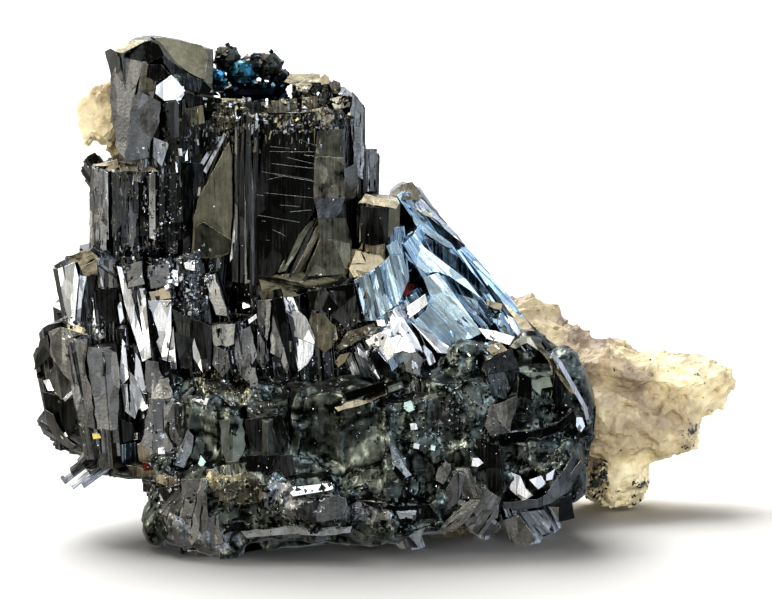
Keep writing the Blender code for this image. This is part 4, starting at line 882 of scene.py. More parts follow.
# splinters and crumbs of broken crystal that crust the big ones
# name, count, the share that may lie on clean faces, left and right, low and high, lean of the splinters
# in degrees (None: crumbs), smallest and largest, finishes, tones
crumbPatches = (
    ("column_rim", 60, 0.4, (-10.6, -2.2), (21.4, 23.4), 0, (0.08, 0.16),
     ("grown", "olive", "steel"), (0.1, 0.2, 0.5)),
    ("rim_grains", 420, 0.9, (-10.0, -1.9), (21.8, 24.2), None, (0.08, 0.26),
     ("stained", "olive", "grown", "steel"), (0.1, 0.3, 0.6, 0.9)),
    ("column_drips", 260, 0.7, (-10.8, -2.4), (20.8, 23.0), 0, (0.04, 0.1),
     ("grown", "olive", "stained", "steel"), (0.0, 0.1, 0.3, 0.6)),
    ("crown_foot", 90, 0.12, (-14.2, -9.6), (18.4, 21.0), 0, (0.08, 0.18),
     ("grown", "steel"), (0.0, 0.1, 0.2, 0.8)),
    ("crown_right", 80, 0.12, (-12.2, -9.0), (20.4, 24.2), None, (0.08, 0.22),
     ("grown", "olive"), (0.0, 0.2, 0.5)),
    ("left_sparkle", 110, 0.8, (-13.2, -11.0), (16.0, 18.8), None, (0.05, 0.14),
     ("grown", "cleavage"), (0.0, 0.3, 1.0)),
    ("rim_gold_grains", 220, 0.9, (-5.4, -2.2), (21.8, 24.4), None, (0.05, 0.17),
     ("stained", "olive"), (0.05, 0.2, 0.4)),
    ("pillar_grit", 260, 0.8, (-16.2, -11.4), (15.4, 20.2), 0, (0.03, 0.09),
     ("etched", "olive", "steel"), (0.1, 0.3, 0.6)),
    ("left_ridges", 50, 0.12, (-16.0, -11.2), (14.2, 19.4), 0, (0.06, 0.14),
     ("grown", "steel"), (0.0, 0.1, 0.4)),
    ("fan_rim", 60, 0.12, (-17.4, -9.4), (13.4, 15.4), 5, (0.08, 0.18),
     ("steel", "cleavage", "grown"), (0.1, 0.5, 1.0)),
    ("fan_grains", 220, 0.5, (-14.4, -9.6), (13.4, 15.6), None, (0.08, 0.22),
     ("steel", "cleavage", "grown"), (0.1, 0.5, 1.0)),
    ("fan_speckle", 240, 0.7, (-12.1, -9.6), (11.6, 15.0), None, (0.06, 0.26),
     ("grown", "cleavage"), (0.0, 0.8, 1.0)),
    ("silver_foot", 90, 0.7, (-17.8, -15.5), (10.1, 11.5), None, (0.06, 0.18),
     ("stained", "cleavage", "grown"), (0.2, 0.7, 1.0)),
    ("fan_ridges", 120, 0.12, (-17.0, -8.6), (8.0, 13.6), 6, (0.06, 0.15),
     ("grown", "steel", "cleavage"), (0.0, 0.2, 0.9)),
    ("band_grit", 130, 0.9, (-2.9, -0.5), (9.5, 11.4), None, (0.05, 0.17),
     ("stained", "olive", "grown", "cleavage"), (0.1, 0.3, 0.7)),
    ("middle_grit", 160, 0.7, (-9.9, -6.8), (8.4, 12.4), 4, (0.03, 0.08),
     ("grown", "olive", "cleavage"), (0.0, 0.2, 0.8)),
    ("column_foot", 90, 0.12, (-8.8, -2.2), (12.6, 14.2), None, (0.06, 0.16),
     ("grown", "olive"), (0.0, 0.2, 0.6)),
    ("middle_ridges", 90, 0.12, (-9.8, -3.0), (7.8, 12.6), 4, (0.06, 0.16),
     ("etched", "steel", "grown"), (0.0, 0.2, 0.8)),
    ("middle_foot", 140, 0.6, (-12.6, -2.0), (7.2, 9.0), None, (0.06, 0.18),
     ("grown", "steel", "cleavage"), (0.0, 0.2, 0.9)),
    ("shatter", 90, 0.12, (3.6, 8.4), (9.4, 12.0), 50, (0.08, 0.2),
     ("tarnished", "cleavage"), (0.2, 0.7, 1.0)),
    ("leaning_ridges", 40, 0.12, (1.4, 8.0), (11.0, 17.6), 45, (0.06, 0.12),
     ("tarnished", "grown"), (0.1, 0.5, 0.9)),
    ("white_edge", 90, 0.12, (-1.2, 1.8), (9.6, 12.6), None, (0.06, 0.18),
     ("cleavage", "tarnished", "grown"), (0.0, 0.2, 1.0)),
    ("crest", 160, 0.8, (-11.0, -5.6), (6.0, 8.2), None, (0.05, 0.16),
     ("mossy", "stained", "cleavage"), (0.1, 0.3, 0.8)),
    ("granular", 190, 0.7, (0.2, 6.4), (4.0, 8.6), None, (0.05, 0.18),
     ("mossy", "grown", "etched", "cleavage"), (0.0, 0.2, 0.8)),
    ("dome_tops", 80, 0.12, (-2.8, 6.4), (8.4, 10.4), None, (0.05, 0.16),
     ("grown", "steel"), (0.0, 0.2, 0.9)),
    ("slab_pits", 420, 0.5, (-12.8, 2.6), (-0.6, 2.4), None, (0.08, 0.26),
     ("etched", "mossy"), (0.1, 0.3, 0.5)),
    ("left_lower", 160, 0.6, (-13.4, -11.2), (1.6, 8.4), None, (0.06, 0.2),
     ("etched", "steel", "cleavage"), (0.1, 0.4, 0.8)),
    ("left_end", 110, 0.12, (-19.2, -16.6), (4.0, 9.6), None, (0.08, 0.24),
     ("etched", "steel"), (0.1, 0.3, 0.7)),
    ("corner_edge", 120, 0.12, (8.6, 11.2), (0.4, 6.6), None, (0.08, 0.22),
     ("grown", "etched", "steel"), (0.1, 0.3, 0.7)),
    ("corner_face", 100, 0.12, (5.4, 10.6), (2.0, 7.4), None, (0.06, 0.2),
     ("mossy", "grown", "etched"), (0.1, 0.3, 0.5)),
    ("glints", 260, 0.5, (-17.0, 8.0), (4.0, 21.0), None, (0.03, 0.09), ("cleavage",), (0.9, 1.0)),
    ("front_glints", 130, 0.8, (-12.0, 10.0), (0.0, 10.0), None, (0.03, 0.09),
     ("cleavage", "steel"), (0.8, 1.0)),
    ("hanging", 40, 0.12, (4.0, 9.4), (-1.2, 0.8), None, (0.06, 0.16), ("steel", "grown"), (0.2, 0.7)),
)


# millimetres, and shares of a crumb's size
crumbStyle = dict(shape=(0.5, 1.4), splinter=(2, 6), sway=0.04, sunk=0.3, near=0.5, deepest=5, lowest=0.1)


def liesOn(surface, spot):
    # whether a spot is near what the camera sees behind it
    hit = surface.ray_cast(eye, (spot - eye).normalized())[0]
    return hit is not None and (hit - spot).length < crumbStyle["near"]


# fine scratches across the black face of the column: left end and right end, as the camera sees them
scratches = (
    (-6.38, 20.73, -3.79, 20.70), (-5.39, 20.40, -3.85, 20.01), (-6.27, 20.06, -3.85, 19.78),
    (-6.11, 19.45, -3.90, 19.06), (-6.66, 18.44, -4.01, 18.16), (-6.82, 16.88, -4.18, 16.49),
    (-6.21, 16.38, -5.50, 16.04), (-5.83, 17.77, -4.73, 17.66), (-5.28, 17.38, -4.07, 17.49),
    (-6.49, 19.17, -5.55, 19.39), (-4.73, 21.40, -3.90, 21.07), (-6.60, 15.82, -4.73, 15.65),
    (-6.33, 21.01, -5.28, 20.90), (-6.93, 20.23, -3.90, 19.45), (-6.82, 19.61, -4.07, 19.17),
    (-7.10, 18.33, -2.53, 17.77), (-6.82, 20.84, -3.74, 20.45), (-7.04, 17.20, -4.73, 16.80),
)
scratchLook = dict(width=0.009, depth=0.072, farthest=1.5, tone=0.5)


def scratchFace(row, surface):
    ends = [surface.ray_cast(eye, eyeWay(*end))[0] for end in (row[:2], row[2:])]
    if None in ends or abs(ends[0].y - ends[1].y) > scratchLook["farthest"]:
        return
    along = ends[1] - ends[0]
    out = (eye - ends[0]).normalized() * scratchLook["depth"]
    up = out.cross(along).normalized() * -scratchLook["width"]
    place = Matrix.Translation(ends[0] - out * 0.5 - up / 2)
    edges = (along, out, up) if along.cross(out).dot(up) > 0 else (out, along, up)
    stockSolid(boxPoints(*edges), boxFaces, place, "steel", scratchLook["tone"])


def strewCrumbs(patch, surface, seed, mark=None, firstFacet=0):
    _, count, share, across, upward, lean, sizes, finishes, tones = patch
    rng = random.Random(seed)
    for _ in range(count):
        way = eyeWay(rng.uniform(*across), rng.uniform(*upward))
        size = rng.uniform(*sizes)
        finish, tone = rng.choice(finishes), rng.choice(tones) * rng.uniform(0.4, 1.0)
        loose = Vector([rng.gauss(0, 1) for _ in range(3)])
        spin, shape = rng.uniform(0, 2 * math.pi), [rng.uniform(*crumbStyle["shape"]) for _ in range(3)]
        kept = rng.random() < share
        hit, normal, face, _ = surface.ray_cast(eye, way)
        if hit is None or (mark and hit.y > crumbStyle["deepest"]):
            continue
        if mark and mark[face].value >= firstFacet and not kept:
            continue
        if lean is None:
            turn = Matrix.Rotation(spin, 3, loose)
        else:           # a splinter lies along its crystal
            shape[2] *= rng.uniform(*crumbStyle["splinter"])
            run = Vector((-math.sin(math.radians(lean)), 0.1, math.cos(math.radians(lean))))
            run += loose * crumbStyle["sway"]
            turn = axisFrame(hit, hit + run, math.degrees(spin)).to_3x3()
        a, b, c = (turn @ Vector(edge) * size * long for edge, long in
                   zip(((1, 0, 0), (0.3, 1, 0), (0.1, 0.1, 1)), shape))
        start = hit - normal * size * crumbStyle["sunk"] - (a + b + c) / 2
        if start.z < crumbStyle["lowest"] or not all(liesOn(surface, hit + c * end) for end in (-0.5, 0.5)):
            continue
        stockSolid(boxPoints(a, b, c), boxFaces, Matrix.Translation(start), finish, tone)


# name, finish, tone, compass and rise of the face, strips that it is split into, and its outline as seen
# from the eye, in hundredths of a millimetre on the plane Y = 0: the first corner across and up, then how
# far across and up from it each other corner is, so a facet is moved by its first corner alone
# Faces that look upward have lower tones than the rest: painted shade on their tops.
facetRows = (
    # Near-black rows in recesses, hollows, slots, grooves, nooks and on undersides are painted shade:
    # recess_left, crown_hollow, crown_nook, groove, groove_long, groove_low, recess_black, recess_slot,
    # fan_slot, grey_slot, mid_slot, slot_b, nook, under_bar, boulder_slot, boulder_under, slab_black.
    # crown
    ("crown_edge", "grown", 0.35, -50, 5, 1, (-1535, 2625, 33, 17, 61, 0, 78, -39, 78, -106, 33, -145)),
    ("crown_bevel", "olive", 0.22, 0, 62, 1, (-1474, 2642, 137, 78, 187, 73, 181, 45, 38, -28, 5, -22)),
    ("crown_hollow", "grown", 0.01, 0, 35, 1, (-1430, 2609, 137, 78, 187, 56, 220, -6, 143, -45, 104, -45,
     11, -17)),
    ("crown_left", "etched", 0.36, -12, 6, 1, (-1457, 2598, 137, -34, 77, -235, 38, -575, -12, -525, -45,
     -335, -50, -123)),
    ("crown_middle", "etched", 0.33, 2, 4, 1, (-1386, 2374, 44, 28, 154, -28, 148, -134, 99, -245, 88, -334,
     -44, -351)),
    ("crown_shoulder", "olive", 0.44, 12, 38, 1, (-1287, 2715, 281, -56, 314, -112, 297, -246, 220, -212,
     154, -162, 49, -39)),
    ("crown_slope", "grown", 0, 20, 10, 1, (-1210, 2603, 143, -111, 220, -145, 303, -223, 204, -212, 126,
     -184, 44, -111, -5, -39)),
    ("crown_gem", "cleavage", 1, 5, 10, 3, (-1171, 2497, 76, -89, 22, -139, -39, -145, -89, -106, -83, -61)),
    ("crown_block", "steel", 0.35, 5, 12, 1, (-1271, 2151, 83, -33, 44, -162, -5, -111)),
    # left columns
    ("pillar_a", "steel", 0.42, -18, 0, 6, (-1606, 2001, 83, -45, 83, -419, -17, -419)),
    ("pillar_b", "grown", 0.2, 0, 0, 4, (-1502, 1956, 83, 11, 72, -257, 0, -363)),
    ("pillar_c", "grown", 0, 5, 0, 3, (-1419, 1961, 66, -5, 66, -351, -5, -368)),
    ("pillar_d", "grown", 0.28, -4, 0, 3, (-1314, 1934, 54, 16, 43, -106, 10, -185)),
    ("pillar_e", "grown", 0.06, 4, 0, 6, (-1260, 1939, 127, 22, 138, -357, -38, -379, -38, -201)),
    ("recess_left", "grown", 0, 25, 0, 2, (-1117, 2017, 116, -11, 116, -145, 50, -402, 0, -435)),
    ("lens", "olive", 0.23, 6, 2, 2, (-858, 2129, 16, -89, 16, -419, -5, -625, -55, -647, -209, -647, -198,
     -419, -165, -301)),
    ("lens_bar_a", "steel", 0.4, 0, 10, 1, (-886, 2179, 12, -17, -99, -229, -115, -212)),
    ("lens_bar_b", "steel", 0.3, 0, 10, 1, (-924, 2162, 17, -16, -82, -178, -99, -161)),
    ("lens_gleam", "cleavage", 0.7, 0, 0, 1, (-830, 1722, 16, -40, 0, -224, -28, -263)),
    ("strip_a", "grown", 0.18, -10, 0, 5, (-825, 2263, 55, 11, 60, -927, -22, -915)),
    ("strip_b", "grown", 0.3, 8, 0, 5, (-765, 2274, 50, -11, 61, -949, 0, -949)),
    ("strip_light", "cleavage", 0.6, 0, 0, 1, (-748, 2263, 44, 22, 49, -56, 11, -101)),
    ("main_face", "grown", 0, -6, 2, 1, (-649, 2274, 275, 22, 248, -547, 176, -647, 88, -848, -55, -938, -66,
     -469)),
    ("main_upper", "olive", 0.2, 25, 0, 1, (-374, 2185, 132, 11, 143, -145, -16, -145)),
    ("main_gold", "stained", 0.22, 25, 0, 1, (-390, 2040, 159, 0, 165, -224, -6, -224)),
    ("main_blue", "etched", 0.14, 25, 0, 1, (-396, 1816, 171, 0, 176, -111, 22, -111)),
    ("main_side", "olive", 0.2, 25, 0, 1, (-374, 1705, 154, 0, 187, -123, 176, -246, 66, -246, 11, -123)),
    ("main_narrow", "etched", 0.55, 30, -5, 1, (-231, 1973, 72, 39, 77, -145, 6, -185)),
    ("main_rough", "etched", 0.45, 40, 0, 4, (-237, 2296, 39, -33, 44, -295, 6, -323, -11, -156)),
    ("main_back", "etched", 0.72, 20, 0, 3, (-187, 2408, 33, -34, 66, -101, 61, -491, 22, -469, -6, -156)),
    ("rear_prism", "etched", 0.38, 10, 0, 4, (-126, 2095, 77, -22, 82, -245, 5, -245)),
    ("bar_long", "olive", 0.45, 15, 0, 3, (-506, 1582, 88, 100, 132, 134, -44, -173, -88, -184)),
    ("bar_second", "olive", 0.36, 12, 0, 2, (-374, 1666, 22, -17, -93, -290, -154, -302)),
    ("main_foot", "olive", 0.26, 20, 2, 1, (-363, 1593, 165, -28, 170, -139, 148, -206, -88, -217)),
    ("block_top", "stained", 0.41, 5, 55, 1, (-154, 1788, 38, 51, 225, -5, 209, -33)),
    ("block_front", "grown", 0.05, -5, 0, 1, (-143, 1766, 154, -5, 149, -201, 66, -217, 5, -201)),
    ("block_side", "olive", 0.5, 45, 0, 1, (17, 1755, 43, 6, 22, -128, -6, -162)),
    ("tan_end", "stained", 0.62, -5, 30, 1, (-165, 1526, 132, -28, 159, -61, 83, -117, -11, -156, -39,
     -106)),
    # striped
    ("striped_low", "tarnished", 0.5, -15, 5, 9, (-176, 1359, 137, 78, 170, -73, 215, -151, 121, -229, 44,
     -229)),
    ("striped_high", "tarnished", 0.66, -10, 5, 9, (-39, 1437, 61, 61, 133, 61, 165, -78, 116, -195, 83,
     -229, 33, -145)),
    ("striped_tall", "tarnished", 0.72, 0, 5, 5, (0, 1549, 60, 33, 94, -51, 22, -51)),
    ("blue_end", "tarnished", 0.85, -12, 12, 3, (88, 1593, 55, 39, 121, -50, 352, -229, 434, -335, 258, -212,
     198, -190, 132, -195, 22, -117)),
    ("spine_cap", "stained", 0.25, 10, 35, 1, (17, 1833, 60, 56, 126, 73, 170, 22, 170, -28, 60, -28)),
    ("spine_edge", "etched", 0.62, 30, 20, 3, (187, 1850, 253, -301, -33, -78)),
    ("spine_light", "stained", 0.72, 20, 25, 1, (138, 1766, 120, -39, 115, -61, 66, -44)),
    ("spine_bar", "tarnished", 0.62, 0, 20, 3, (143, 1722, 220, -162, 226, -190, 187, -179, 33, -79, 6,
     -34)),
    ("spine_low", "tarnished", 0.6, 20, 20, 4, (341, 1627, 99, -78, 347, -369, 434, -503, 297, -385, 44,
     -78)),
    ("spine_foot", "grown", 0.2, 30, 15, 3, (688, 1258, 231, -279, 203, -290)),
    ("gap", "tarnished", 0.13, 0, 0, 1, (154, 1643, 253, -161, 418, -357, 352, -340, 253, -240, 55, -100)),
    ("low_blue", "tarnished", 0.8, -10, 8, 5, (204, 1370, 82, 33, 302, -273, 318, -313, 159, -391, -61, -246,
     16, -179, 38, -100)),
    ("next_blade", "tarnished", 0.3, -5, 10, 4, (363, 1286, 77, -16, 225, -178, 159, -189)),
    ("blade_low", "steel", 0.6, 0, 10, 4, (138, 1124, 225, -145, 197, -178, 148, -173)),
    ("shatter_a", "cleavage", 0.95, -4, 12, 1, (506, 1091, 99, -17, 203, -50, 176, -95, 49, -61)),
    ("shatter_b", "cleavage", 0.85, 6, 14, 1, (666, 1164, 33, -17, 76, -101, 60, -118, 22, -67)),
    ("shatter_c", "tarnished", 0.85, 0, 12, 2, (583, 1147, 71, -17, 55, -56, 5, -23)),
    ("shatter_d", "tarnished", 0.7, 0, 20, 2, (440, 1270, 66, -28, 66, -79, 22, -62)),
    ("shatter_e", "stained", 0.66, 0, 20, 1, (550, 1253, 88, -28, 83, -62, 5, -34)),
    ("ruby_knob", "ruby", 0.4, 0, 20, 1, (94, 1336, 60, 6, 60, -44, 0, -72)),
    # bright
    ("white_small", "cleavage", 1, -6, 8, 1, (110, 1208, 105, 73, 121, 17, 16, -67)),
    ("white_big", "cleavage", 1, -10, 6, 1, (-116, 1018, 83, 51, 144, 17, 193, 34, 254, -16, 281, -61, 187,
     -83, 110, -150)),
    ("white_tall", "cleavage", 0.92, -4, 8, 4, (49, 1208, 122, -173, 155, -257, 105, -251, -27, -67)),
    ("white_line_a", "cleavage", 0.9, -6, 5, 1, (-159, 985, 55, -50, 60, -78, 10, -45)),
    ("white_line_b", "cleavage", 0.9, -6, 5, 1, (-71, 885, 38, -79, 32, -90, -11, -28)),
    ("middle_a", "etched", 0.42, -6, 4, 2, (-704, 1247, 77, 6, 66, -145, 50, -229, 0, -145)),
    ("middle_b", "etched", 0.46, -8, 4, 1, (-621, 1175, 21, 0, 54, -173, 38, -251, -17, -224, -17, -140)),
    ("middle_c", "etched", 0.5, -4, 4, 1, (-567, 1002, 34, -129, 22, -173, -11, -95)),
    ("middle_bar", "grown", 0, 10, 0, 1, (-621, 1258, 54, 0, 137, -413, 104, -446, 38, -206)),
    ("white_blue", "steel", 0.46, -8, 6, 1, (-545, 1180, 61, 11, 105, -28, 155, -150, 144, -240, 111, -295,
     61, -335)),
    ("white_top", "cleavage", 0.9, -5, 8, 4, (-567, 1264, 50, 17, 83, -73, 22, -84)),
    ("olive_round", "olive", 0.2, -4, 6, 1, (-407, 1180, 72, -16, 121, -78, 121, -189, 72, -229, 11, -184,
     -22, -61)),
    ("olive_sliver", "olive", 0.6, -6, 6, 1, (-281, 1113, 17, -83, -16, -117)),
    ("black_face", "grown", 0, -6, 2, 1, (-434, 1297, 253, 45, 296, -167, 219, -228, 170, -167, 109, -122,
     16, -100)),
    ("olive_band", "olive", 0.16, -4, 25, 1, (-264, 985, 49, 84, 198, 134, 215, 95, 0, -28)),
    ("grey_block", "etched", 0.5, -6, 6, 1, (-957, 1102, 127, 11, 121, -100, 83, -117, 50, -106, 11, -117)),
    ("grey_rough", "etched", 0.44, -4, 4, 4, (-820, 1069, 72, 33, 111, -134, 83, -184, 66, -291, 6, -240,
     -16, -101)),
    ("grey_low", "etched", 0.52, -4, 4, 1, (-770, 868, 49, 0, 61, -106, 22, -106)),
    # fan
    ("silver_dark", "grown", 0.26, -45, 5, 1, (-1832, 1426, 28, -6, 77, -313, 55, -307)),
    ("silver_face", "steel", 0.78, -14, 5, 1, (-1804, 1420, 93, 39, 115, -50, 88, -318, 49, -301)),
    ("silver_edge", "cleavage", 0.92, 8, 4, 2, (-1683, 1387, 38, -6, 11, -145, 0, -285, -22, -285)),
    ("sliver_a", "cleavage", 0.8, -8, 4, 2, (-1628, 1336, 11, -33, 33, -234, 72, -301, 39, -318, 0, -301,
     -17, -200)),
    ("hollow_face", "grown", 0.05, -3, 2, 1, (-1606, 1309, 127, 0, 121, -173, 44, -207, 11, -151)),
    ("white_left", "cleavage", 0.92, -6, 4, 2, (-1479, 1437, 27, -6, 60, -128, 153, -123, 186, -513, 137,
     -536, 43, -223)),
    ("left_cap", "etched", 0.38, -4, 10, 1, (-1413, 1437, 71, 28, 87, -101, -6, -123)),
    ("white_right", "cleavage", 1, -3, 4, 1, (-1309, 1242, 127, 5, 127, -173, 99, -341, 82, -341, 38, -207)),
    ("right_end", "stained", 0.6, 0, 10, 1, (-1304, 1292, 110, 28, 122, -34, 17, -50)),
    ("right_cap", "etched", 0.44, 0, 8, 1, (-1309, 1437, 110, 17, 127, -112, 16, -128)),
    ("groove", "grown", 0, 4, 0, 1, (-1320, 1236, 33, -56, 93, -279, 99, -335, 66, -324)),
    ("sliver_b", "cleavage", 0.85, -4, 4, 1, (-1171, 1102, 16, -245, -28, -234, -28, -178)),
    ("sliver_c", "cleavage", 0.95, -6, 4, 1, (-1056, 1035, 33, -100, 44, -195, -6, -111, -11, -50)),
    ("dark_prism", "grown", 0.1, -4, 4, 1, (-1177, 1197, 110, -56, 220, -95, 209, -346, 171, -329, 121, -162,
     28, -145)),
    ("brown_face", "grown", 0.05, -4, 4, 1, (-1166, 1069, 99, -28, 99, -201, 33, -212)),
    ("finger", "etched", 0.85, -6, 8, 1, (-996, 1376, 56, 16, 122, -218, 61, -212, 23, -118)),
    ("cell_a", "cleavage", 1, -6, 6, 1, (-1182, 1420, 38, -11, 38, -95, 5, -84)),
    ("cell_b", "cleavage", 0.95, -4, 8, 1, (-1111, 1454, 60, 16, 60, -45, 11, -34)),
    # lower left
    ("matt_a", "etched", 0.42, -8, 4, 1, (-1766, 1035, 121, -5, 105, -134, 143, -312, 155, -513, 66, -457,
     34, -307)),
    ("matt_b", "etched", 0.45, -2, 4, 1, (-1639, 985, 154, -34, 170, -173, 154, -469, 44, -463, -6, -84)),
    ("flank", "etched", 0.36, -25, 8, 1, (-1859, 1069, 71, 28, 214, -17, 93, -39, 138, -307, 11, -134)),
    ("flank_dark", "grown", 0.15, -40, 5, 1, (-1909, 1018, 45, 34, 61, -83, -32, -167)),
    ("flank_white", "cleavage", 0.9, -18, 8, 1, (-1892, 795, 66, 17, 60, -56, 28, -56)),
    ("flank_spot", "cleavage", 0.95, -12, 6, 1, (-1798, 483, 43, 39, 43, 0, 10, -17)),
    ("sliver_e", "cleavage", 0.86, -6, 4, 1, (-1452, 1030, 16, -28, 33, -218, 0, -257, -17, -218)),
    ("sliver_f", "cleavage", 0.95, -6, 4, 1, (-1380, 951, 27, -50, 60, -228, 38, -228, -6, -139)),
    ("sliver_g", "steel", 0.6, -4, 4, 1, (-1419, 851, 39, -39, 99, -206, 49, -218, 16, -123)),
    ("dark_line", "grown", 0, 0, 0, 1, (-1441, 1002, 17, -28, 38, -424, 28, -447)),
    ("gold_spot", "gold", 0.5, -5, 30, 1, (-1623, 499, 39, 0, 50, -27, 6, -33)),
    ("purple_face", "tarnished", 0.1, -6, 4, 1, (-1479, 433, 99, 16, 99, -90, 27, -123)),
    ("rough_zone", "etched", 0.44, -2, 5, 3, (-1309, 695, 143, 0, 82, -179, 143, -307, 66, -374, -44, -246)),
    ("plate_low", "etched", 0.5, 8, 5, 1, (-1095, 522, 33, -39, 28, -89, -22, -218, -82, -201)),
    ("plate_high", "etched", 0.52, 8, 5, 1, (-1067, 762, 11, -17, -44, -84, -61, -56)),
    ("mint_a", "mint", 0.8, -5, 15, 1, (-1023, 377, 27, -39, 5, -73, -16, -50)),
    ("ruby_spot", "ruby", 0.15, 0, 20, 1, (-1353, 338, 60, -11, 66, -45, 16, -51)),
    # front
    ("front_olive", "mossy", 0.3, -6, 20, 1, (-1095, 656, 105, 22, 171, -56, 138, -151, 44, -173, 11, -90)),
    ("front_green", "mossy", 0.16, -5, 8, 1, (-1062, 483, 127, 11, 171, -140, 94, -173, 23, -106, 0, -50)),
    ("front_face", "mossy", 0.45, -2, 6, 2, (-924, 572, 137, 11, 149, -139, 104, -229, 44, -240, 11, -100)),
    ("front_cube", "grown", 0.02, -3, 4, 1, (-781, 578, 203, 28, 248, -118, 214, -190, 44, -179, 6, -73)),
    ("front_bit", "cleavage", 0.9, -6, 20, 1, (-1072, 689, 93, 6, 82, -33)),
    ("cream_strip", "stained", 0.53, -4, 40, 3, (-286, 645, 286, 106, 292, 72, 148, 11, 22, -23)),
    ("front_dome", "mossy", 0.15, -8, 6, 1, (-567, 633, 83, 118, 314, -33, 303, -200, 188, -290, 61, -245)),
    ("front_right", "mossy", 0.14, 0, 5, 1, (-253, 600, 137, 22, 286, -167, 253, -246, 88, -257, -11, -167)),
    ("front_smooth", "mossy", 0.33, 6, 14, 1, (-220, 237, 220, 117, 391, 23, 369, -44, 275, -128, 77, -83)),
    ("flash_big", "cleavage", 0.95, -4, 22, 1, (-533, 193, 231, 27, 241, -6, 126, -51, 27, -62, 0, -28)),
    ("toe_rough", "etched", 0.4, -30, 6, 2, (-1293, 271, 160, -11, 149, -162, 72, -257, 33, -223, 0, -140)),
    ("teal_patch", "mossy", 0.31, -4, 4, 1, (-775, 75, 148, -27, 148, -117, 21, -106)),
    ("plate_right", "etched", 0.62, 4, 10, 2, (55, 59, 116, 5, 104, -45, 22, -45)),
    ("tooth_face", "etched", 0.5, 6, 4, 1, (126, -81, 94, 50, 55, -67)),
    # corner
    ("rim_band", "stained", 0.31, 20, 35, 1, (682, 985, 60, 56, 115, 61, 171, 22, 225, -45, 291, -167, 369,
     -268, 336, -257, 171, -28, 93, 22, 33, -11)),
    ("pale_a", "mossy", 0.62, 0, 12, 1, (732, 946, 43, 11, 93, -39, 65, -101, 16, -106, -6, -50)),
    ("pale_b", "mossy", 0.65, 6, 20, 1, (797, 840, 122, 17, 122, -11, 12, -28)),
    ("pale_c", "mossy", 0.85, 2, 8, 1, (797, 801, 105, 17, 122, -39, 61, -50, 56, -89, 12, -50)),
    ("grey_a", "etched", 0.36, -4, 4, 1, (572, 656, 154, 56, 116, -151, 16, -184, -27, -117)),
    ("grey_b", "etched", 0.5, 4, 8, 2, (709, 555, 100, 45, 121, 0, 72, -50, -21, -67)),
    ("groove_long", "grown", 0, 0, -10, 1, (572, 455, 121, 50, 237, 56, 368, 95, 462, 178, 479, 134, 385, 56,
     82, -56)),
    ("pale_e", "cleavage", 0.82, 25, 6, 1, (1051, 589, 33, 0, 49, -50, 27, -84, 0, -50)),
    ("dark_low", "mossy", 0.07, 4, -8, 1, (693, 410, 209, 45, 269, -111, 181, -134, 44, -134)),
    ("flash_c", "cleavage", 1, -3, 5, 2, (688, 282, 54, -22, 87, -95, 126, -134, 71, -168, -39, -67)),
    ("flash_d", "cleavage", 0.95, 0, 5, 1, (792, 237, 66, 23, 94, -22, 50, -56)),
    ("flash_e", "cleavage", 0.95, 4, 5, 1, (886, 265, 49, 34, 33, -28, 0, -33)),
    ("cream_spot", "cleavage", 0.9, -4, 10, 1, (479, 360, 33, 0, 60, -28, 27, -50, -6, -45)),
    ("mint_b", "mint", 0.8, -5, 10, 1, (99, 672, 39, 12, 60, -39, 27, -55, 0, -33)),
    ("corner_rim", "etched", 0.5, 15, -8, 2, (836, 126, 143, 78, 242, 223, 264, 189, 170, 39, 17, -45, -176,
     -56, -187, -17)),
    ("hang_face", "etched", 0.44, -10, -2, 1, (638, 3, 94, 39, 171, -62, 192, -112, 127, -156, 88, -145)),
    ("hang_side", "etched", 0.75, 20, 0, 8, (742, 53, 132, 17, 182, -61, 149, -123, 83, -139)),
    ("hang_round", "etched", 0.4, 0, 0, 8, (424, 8, 131, 51, 209, -22, 148, -67, 82, -83, 38, -61)),
    # column rim
    ("ledge_line", "stained", 0.5, 0, 30, 1, (-940, 2374, 165, -11, 175, -28, 5, -22)),
    ("ledge_tan", "stained", 0.38, 5, 35, 1, (-770, 2380, 121, 50, 209, 50, 242, -17, 88, -34)),
    ("top_flat", "olive", 0.22, 5, 60, 1, (-555, 2458, 33, 45, 192, 45, 203, 6, 82, -28)),
    ("top_gold", "stained", 0.43, 10, 50, 1, (-495, 2441, 55, 28, 94, 0, 66, -39, 11, -33)),
    ("top_lump", "stained", 0.6, 0, 20, 1, (-363, 2475, 28, 28, 55, 5, 55, -28, 11, -34)),
    ("top_knob", "stained", 0.12, 10, 20, 1, (-308, 2441, 22, 28, 60, 11, 66, -44, 22, -50)),
    ("rim_brown", "stained", 0.28, 0, 5, 3, (-682, 2346, 127, 12, 154, -50, 33, -61)),
    ("rim_umber", "stained", 0.2, 8, 5, 4, (-528, 2363, 154, 17, 154, -44, 11, -56)),
    ("rim_tan", "stained", 0.55, 5, 10, 3, (-407, 2307, 88, 12, 115, -55, 77, -117, 11, -100)),
    ("rim_gold", "stained", 0.62, 20, 10, 2, (-308, 2363, 77, 23, 99, -44, 33, -67)),
    ("rim_dark", "grown", 0.05, 0, 0, 5, (-886, 2346, 204, -5, 204, -61, 17, -72)),
    ("crown_dark", "grown", 0.04, 10, 5, 3, (-1122, 2408, 99, -28, 182, -39, 176, -112, 44, -89)),
    ("crown_grey", "olive", 0.3, 5, 0, 3, (-1100, 2307, 99, 23, 110, -78, 22, -100)),
    ("crown_olive", "olive", 0.14, 0, 5, 1, (-1347, 2486, 71, 22, 87, -78, 16, -78)),
    ("crown_nook", "grown", 0.02, 0, 5, 1, (-1298, 2553, 71, 0, 121, -61, 44, -95, -11, -67)),
    ("band_a", "grown", 0.14, 0, 0, 5, (-1215, 2341, 115, 22, 137, -173, 38, -201)),
